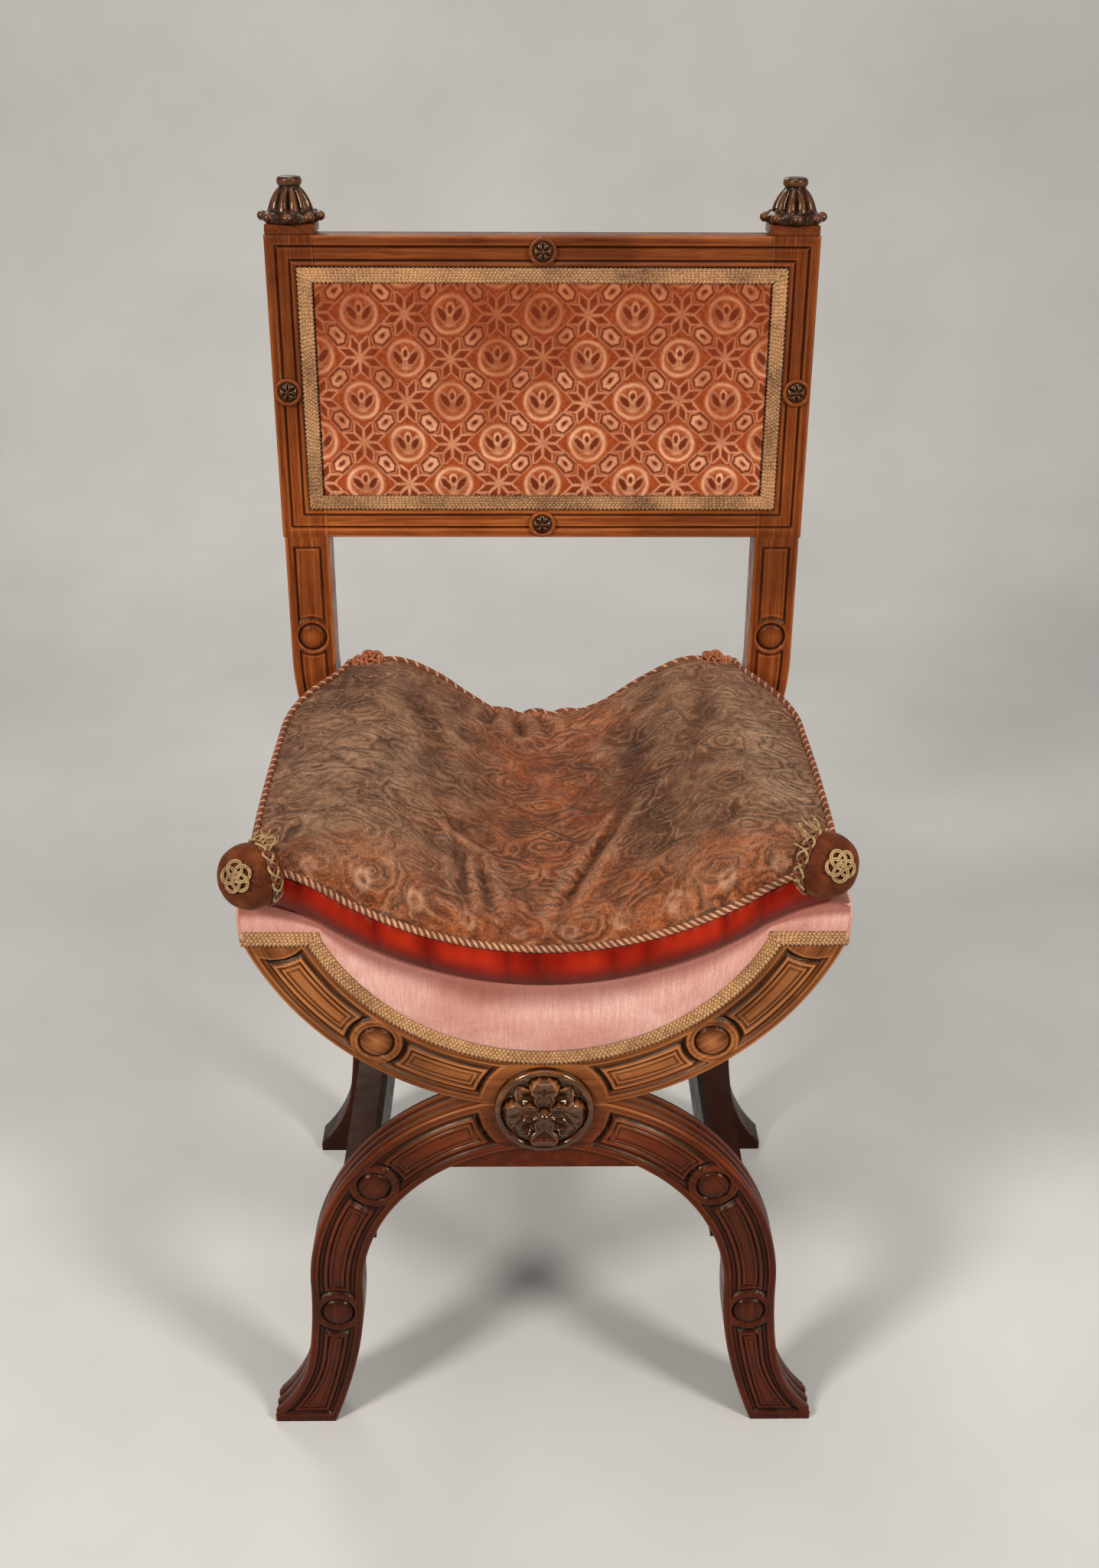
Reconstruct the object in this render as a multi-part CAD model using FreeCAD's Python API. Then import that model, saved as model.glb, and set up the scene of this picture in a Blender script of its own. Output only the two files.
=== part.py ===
import FreeCAD, Part
import math
import os

# Curule chair: an X-framed side chair with a slung seat, a raked upholstered back and a loose cushion.
# Millimetres, +Z up, +X to the sitter's left hand, the chair faces -Y. While it is modelled, y = 0 is the
# front face of the front cross frame; every piece is moved at the end so that the origin lies on the floor
# under the middle of the chair's box.

V = FreeCAD.Vector

# Cross frames (front and rear X)
FRAME_T = 36.0            # thickness of both cross frames, front to back
REAR_Y = 392.0            # front face of the rear cross frame
SEAM_Z = 372.0            # height of the seam where the arms stand on the legs
SEAM_HALF = 51.0          # half length of that seam
ARM_OUT_R = 260.0         # outer radius of the front arms' U
ARM_BAND = 55.0           # width of the front arms
ARM_TIP_Z = 538.0         # height of the front arm tips
ARCH_OUT_R = 209.0        # outer radius of the legs' arch
LEG_W = 46.5              # width of a leg at the spring of the arch
CROWN_H = 53.0            # height of the arch at its crown
ANKLE_Z = 80.0            # height of the ankle
ANKLE_OUT = 7.0           # how far the ankle's outer edge stands outside the arch
ANKLE_IN = 9.0            # the same for its inner edge
TOE_X = 252.0             # half width over the toes
TOE_H = 8.0               # height of the toe's square end
FOOT_W = 57.0             # width of the foot on the floor
BRIDGE_DROP = 25.5        # height of the bridge block under the arch crown
BRIDGE_INSET = 6.0        # setback of the bridge block from both faces of a frame

# Carving on the front cross frame
BORDER = 7.5              # plain border round a carved panel
MOAT_W = 5.0              # width of the sunk line round a panel
MOAT_D = 2.5              # depth of the sunk line
ROUNDEL_R = 14.5          # radius of a roundel
ROUNDEL_RISE = 1.2        # how far a roundel stands out
ROUNDEL_RING = 7.0        # plain ring between a roundel and the panels
ARM_ROUNDEL_ANGLE = 36.0  # place of the arm roundel, degrees from straight down
LEG_ROUNDEL_ANGLE = 52.5  # place of the upper leg roundel, degrees from straight up
LOW_ROUNDEL_Z = 137.0     # height of the lower leg roundel
TIP_LENS_R = 32.0         # radius of the plain lens at the arm tip
TIP_LENS_H = 14.0         # depth of that lens below the gimp
ROSETTE_R = 42.5          # outer radius of the rosette
ROSETTE_DROP = 4.0        # rosette centre below the seam
ROSETTE_BASE = 3.5        # thickness of the rosette's disc
ROSETTE_RISE = 14.0       # how far the flower stands out
ROSETTE_FIELD = 13.0      # plain ring of the frame round the rosette
LEAF_R = 34.0             # reach of the four large leaves
SMALL_LEAF_R = 31.0       # reach of the four small leaves

# Side stretchers
STRETCHER_W = 29.0
STRETCHER_H = 62.0
STRETCHER_TOP_Z = 255.0
STRETCHER_OUT_X = 181.0
STRETCHER_CHAMFER = 5.0
CHAMFER_STOP = 40.0       # plain length at each end of the chamfer
TENON_L = 14.0
TENON_SHOULDER = 8.0

# Back
RAKE = 2.0                # degrees
POST_OUTSET = 1.7         # back posts outside the front arm tips
POST_W = 42.0
POST_D = 38.0
POST_FOOT_Z = 560.0       # joint between the rear arm and the back post
BACK_LOW_Z = 736.0        # lower edge of the back frame
BACK_TOP_Z = 1012.0       # upper edge of the back frame
BACK_RAIL_H = 42.0
BACK_RAIL_D = 28.0
BACK_STEP = 1.5           # how far the back frame stands outside the post
REVEAL = 27.0             # wood that shows round the back upholstery
LINE_OUT = 9.0            # outer sunk line from the frame's edge
LINE_IN = 21.0            # inner sunk line from the frame's edge
LINE_W = 2.2
LINE_D = 1.5
REBATE_D = 4.0            # sunk seat of the back upholstery
POST_PANEL_W = 24.0
POST_PANEL_LOW_Z = 652.0
POST_PANEL_TOP_Z = 726.0
POST_PANEL_D = 2.5
POST_ROUNDEL_Z = 635.0
PATERA_GAP = 0.7          # patera inside the wood that shows
PATERA_T = 4.0
PATERA_FLOWER_R = 9.0

# Finials
PLINTH_W = 44.5
PLINTH_H = 9.0
FINIAL_H = 48.0           # finial with its plinth
FINIAL_KNOB_R = 10.2
FINIAL_BELL_R = 17.5
FINIAL_BALL_R = 5.8
FINIAL_REACH_R = 30.5     # outer reach of the ball-tipped skirt
FINIAL_BALLS = 8
SPIGOT_W = 12.0
SPIGOT_L = 20.0

# Seat
SEAT_DIP = 74.0           # sag of the slung seat
SEAT_DIP_R = 300.0        # radius of the sag's middle
SEAT_INSET = 4.3          # seat side inside the arm tips
RAIL_INSET = 8.3          # side rail inside the arm tips
RAIL_W = 40.0
RAIL_H = 19.0
RAIL_COVER = 5.0          # least stuffing over the inner edge of a side rail
PAD_T = 13.0              # stuffing over the side rails
CRESCENT_T = 27.0         # thickness of the front and rear seat rails
SKIRT_T = 5.0             # velvet down the sides of the side rails
SLING_T = 1.5             # canvas sling under the stuffing
COVER_T = 1.0
COVER_SAG = 62.0
GIMP_W = 16.0             # seat gimp
GIMP_T = 2.4
GIMP_LAP = 7.5            # how far the seat gimp lies on the wood
BACK_GIMP_W = 14.0
BACK_GIMP_T = 2.2
BACK_PAD_EDGE = 1.6       # thickness of the back pad under the gimp
BACK_PAD_CROWN_R = 3200.0
BACK_PAD_RISE = 7.0
BACK_WEB_W = 50.0
BACK_WEB_T = 0.7
LINING_T = 1.5
LINING_LAP = 12.0

# Loose tenons: flat slips of wood glued into both pieces of a joint
SLIP_T = 8.0              # thickness in the cross frames
SLIP_W = 26.0             # width across the grain
SLIP_L = 44.0             # length over both pieces
RAIL_SLIP_T = 7.0         # the same for the seat rails and the back posts
RAIL_SLIP_W = 16.0
RAIL_SLIP_L = 28.0

# Loose cushion
CUSHION_FRONT_Y = -5.0
CUSHION_REAR_GAP = 9.0    # cushion's rear edge in front of the rear frame
CUSHION_SIDE_BULGE = 3.0
CUSHION_REST = 0.4        # gap between the cushion and the seat
CUSHION_SINK = 8.0        # how far the cushion is drawn below the seat before the seat is cut out of it
# distance from the front edge, side inside the seat's side, thickness in the middle, humps inside the
# seat's side, and height of the humps over it
CUSHION_FRONT = (
    (0.0, 10.0, 34.0, 28.0, 32.0),
    (34.0, 6.0, 47.0, 50.0, 45.0),
    (90.0, 6.0, 57.0, 68.0, 53.0),
)
# the same, with the distance from the rear edge
CUSHION_REAR = (
    (78.0, 6.0, 57.0, 68.0, 53.0),
    (0.0, 34.0, 54.0, 80.0, 41.0),
)
MACAROON_R = 27.0
MACAROON_L = 44.0
MACAROON_PLEATS = 12
MACAROON_INSET = 14.0     # middle of a macaroon inside the seat's side
MACAROON_OUT = 3.0        # middle of a macaroon in front of the cushion
MACAROON_LIFT = 4.0       # lowest point of a macaroon above the seat side

FIT = 0.1                 # gap of a glued or pushed joint
EPS = 1.0                 # overrun of a cutting tool

# Sizes that follow from the ones above
ARM_IN_R = ARM_OUT_R - ARM_BAND
ARCH_IN_R = ARCH_OUT_R - LEG_W
ARM_Z = SEAM_Z + math.sqrt(ARM_OUT_R ** 2 - SEAM_HALF ** 2)
ARCH_Z = SEAM_Z - math.sqrt(ARCH_OUT_R ** 2 - SEAM_HALF ** 2)
ARCH_IN_Z = ARCH_Z + ARCH_OUT_R - CROWN_H - ARCH_IN_R
GIMP_LOW_R = ARM_IN_R + GIMP_LAP
GIMP_LOW_Z = ARM_TIP_Z - GIMP_LAP
TIP_OUT_X = math.sqrt(ARM_OUT_R ** 2 - (ARM_Z - ARM_TIP_Z) ** 2)
TIP_IN_X = math.sqrt(ARM_IN_R ** 2 - (ARM_Z - ARM_TIP_Z) ** 2)
POST_OUT_X = TIP_OUT_X + POST_OUTSET
POST_IN_X = POST_OUT_X - POST_W
REAR_ARM_Z = SEAM_Z + math.sqrt(POST_OUT_X ** 2 - SEAM_HALF ** 2)
SEAT_HALF = TIP_OUT_X - SEAT_INSET
RAIL_OUT_X = TIP_OUT_X - RAIL_INSET
RAIL_IN_X = RAIL_OUT_X - RAIL_W
RAIL_TOP_Z = ARM_TIP_Z + RAIL_H
SEAT_SIDE_Z = RAIL_TOP_Z + PAD_T
SEAT_LOW_Z = SEAT_SIDE_Z - SEAT_DIP
SEAT_TURN = 2.0 * math.atan(SEAT_DIP / SEAT_HALF)
SEAT_BROW_R = SEAT_HALF / math.sin(SEAT_TURN) - SEAT_DIP_R
SEAT_TURN_X = SEAT_DIP_R * math.sin(SEAT_TURN)
ROSETTE_Z = SEAM_Z - ROSETTE_DROP
FRAME_MID_Y = FRAME_T / 2.0
BACK_PIVOT = V(0, REAR_Y, POST_FOOT_Z)
OPENING_X = POST_OUT_X + BACK_STEP - REVEAL
OPENING_LOW_Z = BACK_LOW_Z + REVEAL
OPENING_TOP_Z = BACK_TOP_Z - REVEAL
PATERA_R = REVEAL / 2.0 - PATERA_GAP
CROSS = V(0, 1, 0)


def at(x, z, y=0.0):
    return V(x, y, z)


def line(a, b):
    return Part.LineSegment(a, b).toShape()


def arc(a, via, b):
    return Part.Arc(a, via, b).toShape()


def ring_arc(centre_z, radius, a, b, y=0.0):
    """Arc about (0, centre_z) between the angles a and b, in degrees from +X towards +Z."""
    ends = []
    for angle in (a, (a + b) / 2.0, b):
        turn = math.radians(angle)
        ends.append(at(radius * math.cos(turn), centre_z + radius * math.sin(turn), y))
    return arc(*ends)


def tangent_arc(start, heading, end):
    """Arc that leaves start along heading and ends at end; also gives its heading there."""
    chord = end.sub(start)
    length = chord.Length
    along = chord.multiply(1.0 / length)
    share = heading.dot(along)
    side = heading.sub(along * share)
    turn = math.acos(max(-1.0, min(1.0, share)))
    rise = length / 2.0 * math.tan(turn / 2.0)
    middle = start + along * (length / 2.0) + side.normalize() * rise
    return arc(start, middle, end), along * (2.0 * share) - heading


def slab(edges, y0, y1):
    """Solid between y0 and y1 from a closed outline drawn at y = 0."""
    face = Part.Face(Part.Wire(edges))
    face.translate(V(0, y0, 0))
    return face.extrude(V(0, y1 - y0, 0))


def block(x0, x1, y0, y1, z0, z1):
    return Part.makeBox(x1 - x0, y1 - y0, z1 - z0, V(x0, y0, z0))


def mirrored(shape):
    return shape.mirror(V(0, 0, 0), V(1, 0, 0))


def raked(shape):
    """Lean a piece of the back, modelled upright, about the foot of the back posts."""
    shape.rotate(BACK_PIVOT, V(1, 0, 0), -RAKE)
    return shape


def degrees_at(centre_z, x, z):
    return math.degrees(math.atan2(z - centre_z, x))


def arm_outline(centre_z, out_r, in_r, tip_z):
    """Right half of a U: from the seam round the outside to the tip and back along the inside."""
    out_x = math.sqrt(out_r ** 2 - (centre_z - tip_z) ** 2)
    in_x = math.sqrt(in_r ** 2 - (centre_z - tip_z) ** 2)
    seam_turn = degrees_at(centre_z, SEAM_HALF, SEAM_Z)
    out_turn = degrees_at(centre_z, out_x, tip_z)
    in_turn = degrees_at(centre_z, in_x, tip_z)
    return [
        line(at(0, SEAM_Z), at(SEAM_HALF, SEAM_Z)),
        ring_arc(centre_z, out_r, seam_turn, out_turn),
        line(at(out_x, tip_z), at(in_x, tip_z)),
        ring_arc(centre_z, in_r, in_turn, -90.0),
        line(at(0, centre_z - in_r), at(0, SEAM_Z)),
    ]


def leg_outline():
    """Right half of the arch with its leg and out-turned foot."""
    down = at(0, -1)
    spring_out = at(ARCH_OUT_R, ARCH_Z)
    spring_in = at(ARCH_IN_R, ARCH_IN_Z)
    ankle_out = at(ARCH_OUT_R + ANKLE_OUT, ANKLE_Z)
    ankle_in = at(ARCH_IN_R + ANKLE_IN, ANKLE_Z)
    toe_top = at(TOE_X, TOE_H)
    heel = at(TOE_X - FOOT_W, 0)
    shin_out, heading_out = tangent_arc(spring_out, down, ankle_out)
    flare_out, _ = tangent_arc(ankle_out, heading_out, toe_top)
    shin_in, heading_in = tangent_arc(spring_in, down, ankle_in)
    flare_in, _ = tangent_arc(ankle_in, heading_in, heel)
    seam_turn = degrees_at(ARCH_Z, SEAM_HALF, SEAM_Z)
    return [
        line(at(0, SEAM_Z), at(SEAM_HALF, SEAM_Z)),
        ring_arc(ARCH_Z, ARCH_OUT_R, seam_turn, 0.0),
        shin_out,
        flare_out,
        line(toe_top, at(TOE_X, 0)),
        line(at(TOE_X, 0), heel),
        flare_in,
        shin_in,
        ring_arc(ARCH_IN_Z, ARCH_IN_R, 0.0, 90.0),
        line(at(0, ARCH_IN_Z + ARCH_IN_R), at(0, SEAM_Z)),
    ]


def disc(x, z, radius):
    return Part.Face(Part.Wire(Part.makeCircle(radius, at(x, z), CROSS)))


def roundel(x, z, face_y):
    """Turned button on a carved face."""
    return Part.makeCylinder(ROUNDEL_R, ROUNDEL_RISE, V(x, face_y, z), V(0, -1, 0))


def arm_panel(inset):
    """Right half of the U that shows under the gimp, drawn in all round by an inset."""
    out_r = ARM_OUT_R - inset
    in_r = GIMP_LOW_R + inset
    tip_z = GIMP_LOW_Z - inset
    out_x = math.sqrt(out_r ** 2 - (ARM_Z - tip_z) ** 2)
    in_x = math.sqrt(in_r ** 2 - (ARM_Z - tip_z) ** 2)
    edges = [
        line(at(0, ARM_Z - in_r), at(0, ARM_Z - out_r)),
        ring_arc(ARM_Z, out_r, -90.0, degrees_at(ARM_Z, out_x, tip_z)),
        line(at(out_x, tip_z), at(in_x, tip_z)),
        ring_arc(ARM_Z, in_r, degrees_at(ARM_Z, in_x, tip_z), -90.0),
    ]
    return Part.Face(Part.Wire(edges))


def leg_panel(inset):
    """Right half of the arch and its leg, drawn in all round by an inset."""
    return Part.Face(Part.Wire(leg_outline())).makeOffset2D(-inset)


def panel_cut(panel, roundels, extra):
    """Sunk line round the carved panels of a band, kept clear of its roundels and other discs."""
    outer = panel(BORDER)
    inner = panel(BORDER + MOAT_W)
    ring = ROUNDEL_R + ROUNDEL_RING
    discs = [(x, z, ring) for x, z in roundels] + list(extra)
    for x, z, radius in discs:
        outer = outer.cut(disc(x, z, radius))
        inner = inner.cut(disc(x, z, radius + MOAT_W))
    moat = outer.cut(inner)
    moat.translate(V(0, -EPS, 0))
    return moat.extrude(V(0, EPS + MOAT_D, 0))


def arm_roundel():
    turn = math.radians(ARM_ROUNDEL_ANGLE)
    radius = (ARM_OUT_R + GIMP_LOW_R) / 2.0
    return radius * math.sin(turn), ARM_Z - radius * math.cos(turn)


def leg_roundels():
    turn = math.radians(LEG_ROUNDEL_ANGLE)
    radius = (ARCH_OUT_R + ARCH_IN_R) / 2.0
    upper = (radius * math.sin(turn), ARCH_Z + radius * math.cos(turn))
    lower = (radius, LOW_ROUNDEL_Z)
    return [upper, lower]


def slip(centre, size, gap=0.0):
    """Loose tenon, or with a gap the mortise for it, given by its middle and its three sizes."""
    half = [value / 2.0 + gap for value in size]
    return block(centre.x - half[0], centre.x + half[0], centre.y - half[1], centre.y + half[1],
                 centre.z - half[2], centre.z + half[2])


def crossing_slips(y, gap=0.0):
    """Loose tenons of one crossing: one from arm to leg on each side, one across each middle joint."""
    upright_x = SEAM_HALF - SLIP_W / 2.0 - SLIP_T / 2.0
    arm_z = SEAM_Z + SLIP_L / 2.0 - SLIP_T
    leg_z = SEAM_Z - SLIP_L / 2.0
    short = 2.0 * (upright_x - SLIP_W / 2.0 - SLIP_T / 2.0)
    return [
        slip(V(upright_x, y, SEAM_Z), (SLIP_W, SLIP_T, SLIP_L), gap),
        slip(V(-upright_x, y, SEAM_Z), (SLIP_W, SLIP_T, SLIP_L), gap),
        slip(V(0, y, arm_z), (short, SLIP_T, SLIP_T), gap),
        slip(V(0, y, leg_z), (short, SLIP_T, SLIP_W), gap),
    ]


def post_slips(gap=0.0):
    """Loose tenon in each joint between a rear arm and its back post, leaning with the post."""
    middle_x = (POST_IN_X + POST_OUT_X) / 2.0 - SLIP_T / 2.0
    place = V(middle_x, REAR_Y + FRAME_MID_Y, POST_FOOT_Z)
    tenon = raked(slip(place, (RAIL_SLIP_W, RAIL_SLIP_T, RAIL_SLIP_L), gap))
    return [tenon, mirrored(tenon)]


def rail_slips(gap=0.0):
    """Loose tenons of the seat's side rails: upright in the arm tips, level in the rear arms."""
    middle_x = RAIL_OUT_X - RAIL_W / 2.0
    rear_z = ARM_TIP_Z + RAIL_H / 2.0
    front = slip(V(middle_x, FRAME_MID_Y, ARM_TIP_Z), (RAIL_SLIP_W, RAIL_SLIP_T, RAIL_SLIP_L), gap)
    rear = slip(V(middle_x, REAR_Y, rear_z), (RAIL_SLIP_W, RAIL_SLIP_L, RAIL_SLIP_T), gap)
    return [front, mirrored(front), rear, mirrored(rear)]


def lobed_loft(levels, lobes, turn=0.0, per_lobe=4):
    """Loft along +Z with flat facets through lobed outlines, each given by height, reach and lobe depth."""
    count = lobes * per_lobe
    rows = []
    for height, reach, depth in levels:
        row = []
        for k in range(count):
            angle = 2.0 * math.pi * k / count
            radius = reach - depth * (0.5 - 0.5 * math.cos(lobes * angle))
            angle += math.radians(turn)
            row.append(V(radius * math.cos(angle), radius * math.sin(angle), height))
        rows.append(row)
    corners = [rows[0][::-1], rows[-1]]
    for low, high in zip(rows, rows[1:]):
        for k in range(count):
            after = (k + 1) % count
            corners.append([low[k], low[after], high[k]])
            corners.append([low[after], high[after], high[k]])
    faces = [Part.Face(Part.makePolygon(points + points[:1])) for points in corners]
    return Part.Solid(Part.Shell(faces)).removeSplitter()


def facing_front(shape, x, y, z):
    """Turn a piece lofted along +Z so that it points to the chair's front, and put it in its place."""
    shape.rotate(V(0, 0, 0), V(1, 0, 0), 90.0)
    shape.translate(V(x, y, z))
    return shape


def cut_all(shape, tools):
    for tool in tools:
        shape = shape.cut(tool)
    return shape


def stretcher_and_mortises():
    """Right side stretcher with a tenon at each end, and the two mortises for it."""
    x1 = STRETCHER_OUT_X
    x0 = x1 - STRETCHER_W
    z1 = STRETCHER_TOP_Z
    z0 = z1 - STRETCHER_H
    y0 = FRAME_T
    y1 = REAR_Y
    bar = block(x0, x1, y0, y1, z0, z1)
    corner = [
        line(at(x0, z1), at(x0 + STRETCHER_CHAMFER, z1)),
        line(at(x0 + STRETCHER_CHAMFER, z1), at(x0, z1 - STRETCHER_CHAMFER)),
        line(at(x0, z1 - STRETCHER_CHAMFER), at(x0, z1)),
    ]
    bar = bar.cut(slab(corner, y0 + CHAMFER_STOP, y1 - CHAMFER_STOP))
    mortises = []
    for near, far in ((y0 - TENON_L, y0), (y1, y1 + TENON_L)):
        s = TENON_SHOULDER
        bar = bar.fuse(block(x0 + s, x1 - s, near, far, z0 + 2.5 * s, z1 - s))
        mortise = block(x0 + s - FIT, x1 - s + FIT, near - FIT, far + FIT, z0 + 2.5 * s - FIT, z1 - s + FIT)
        mortises.append(mortise)
    return bar.removeSplitter(), mortises


def bridge_block(y0):
    """Segment of wood glued under the crown of an arch, flat below."""
    crown = ARCH_IN_Z + ARCH_IN_R
    radius = ARCH_IN_R - FIT
    flat_z = crown - BRIDGE_DROP
    half = math.sqrt(radius ** 2 - (flat_z - ARCH_IN_Z) ** 2)
    turn = degrees_at(ARCH_IN_Z, half, flat_z)
    outline = [
        line(at(-half, flat_z), at(half, flat_z)),
        ring_arc(ARCH_IN_Z, radius, turn, 180.0 - turn),
    ]
    return slab(outline, y0 + BRIDGE_INSET, y0 + FRAME_T - BRIDGE_INSET)


def front_frame(nodes, mortises):
    outline = arm_outline(ARM_Z, ARM_OUT_R, ARM_IN_R, ARM_TIP_Z)
    rosette_clear = (0.0, ROSETTE_Z, ROSETTE_R + ROSETTE_FIELD)
    lens_x = (TIP_OUT_X + TIP_IN_X) / 2.0 + GIMP_LAP / 2.0
    lens = (lens_x, GIMP_LOW_Z + TIP_LENS_R - TIP_LENS_H, TIP_LENS_R)
    arm = slab(outline, 0.0, FRAME_T)
    arm = arm.cut(panel_cut(arm_panel, [arm_roundel()], [rosette_clear, lens]))
    arm = arm.fuse(roundel(*arm_roundel(), 0.0))
    leg = slab(leg_outline(), 0.0, FRAME_T)
    leg = leg.cut(panel_cut(leg_panel, leg_roundels(), [rosette_clear]))
    for x, z in leg_roundels():
        leg = leg.fuse(roundel(x, z, 0.0))
    holes = crossing_slips(FRAME_MID_Y, FIT)
    arm = cut_all(arm, holes + rail_slips(FIT)).removeSplitter()
    leg = cut_all(leg, holes + mortises).removeSplitter()
    nodes["front_arm_right"] = arm
    nodes["front_arm_left"] = mirrored(arm)
    nodes["front_leg_right"] = leg
    nodes["front_leg_left"] = mirrored(leg)
    nodes["front_bridge_block"] = bridge_block(0.0)


def rear_frame(nodes, mortises):
    outline = arm_outline(REAR_ARM_Z, POST_OUT_X, POST_IN_X, POST_FOOT_Z + FRAME_T / 4.0)
    arm = slab(outline, REAR_Y, REAR_Y + FRAME_T)
    above = block(-2 * TOE_X, 2 * TOE_X, REAR_Y - POST_W, REAR_Y + 2 * POST_W, POST_FOOT_Z, BACK_LOW_Z)
    arm = arm.cut(raked(above))
    leg = slab(leg_outline(), REAR_Y, REAR_Y + FRAME_T)
    holes = crossing_slips(REAR_Y + FRAME_MID_Y, FIT)
    arm = cut_all(arm, holes + rail_slips(FIT) + post_slips(FIT))
    leg = cut_all(leg, holes + mortises)
    nodes["rear_arm_right"] = arm
    nodes["rear_arm_left"] = mirrored(arm)
    nodes["rear_leg_right"] = leg
    nodes["rear_leg_left"] = mirrored(leg)
    nodes["rear_bridge_block"] = bridge_block(REAR_Y)


def rosette():
    """Disc with a raised ring, a flower of four large leaves over four small ones, and a bead."""
    rim = [
        (0.0, ROSETTE_R, 0.0),
        (ROSETTE_BASE, ROSETTE_R, 0.0),
        (ROSETTE_BASE + 2.5, ROSETTE_R - 3.0, 0.0),
    ]
    well = [
        (ROSETTE_BASE - 1.0, LEAF_R + 1.0, 0.0),
        (ROSETTE_BASE + 3.0, ROSETTE_R - 4.0, 0.0),
    ]
    shape = lobed_loft(rim, 10).cut(lobed_loft(well, 10))
    top = ROSETTE_RISE
    small = [(1.0, SMALL_LEAF_R, 16.0), (top * 0.5, SMALL_LEAF_R - 3.0, 15.0), (top * 0.72, 8.0, 2.0)]
    large = [(1.0, LEAF_R, 22.0), (top * 0.55, LEAF_R - 3.0, 20.0), (top * 0.85, 9.0, 3.0)]
    bead = [(top * 0.5, 6.0, 0.0), (top * 0.85, 6.0, 0.0), (top, 3.0, 0.0)]
    for levels, lobes, turn in ((small, 4, 45.0), (large, 4, 0.0), (bead, 2, 0.0)):
        shape = shape.fuse(lobed_loft(levels, lobes, turn, 4))
    return facing_front(shape.removeSplitter(), 0.0, 0.0, ROSETTE_Z)


def frame_ring(inset, width, depth):
    """Rectangular groove on the front of the back frame, at an inset from its edges."""
    x = POST_OUT_X + BACK_STEP - inset
    low = BACK_LOW_Z + inset
    top = BACK_TOP_Z - inset
    outer = block(-x, x, REAR_Y - EPS, REAR_Y + depth, low, top)
    w = width
    inner = block(-x + w, x - w, REAR_Y - 2 * EPS, REAR_Y + 2 * depth, low + w, top - w)
    return outer.cut(inner)


def patera_places():
    middle_z = (BACK_LOW_Z + BACK_TOP_Z) / 2.0
    side_x = OPENING_X + REVEAL / 2.0
    return [
        (0.0, BACK_TOP_Z - REVEAL / 2.0),
        (0.0, BACK_LOW_Z + REVEAL / 2.0),
        (-side_x, middle_z),
        (side_x, middle_z),
    ]


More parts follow.
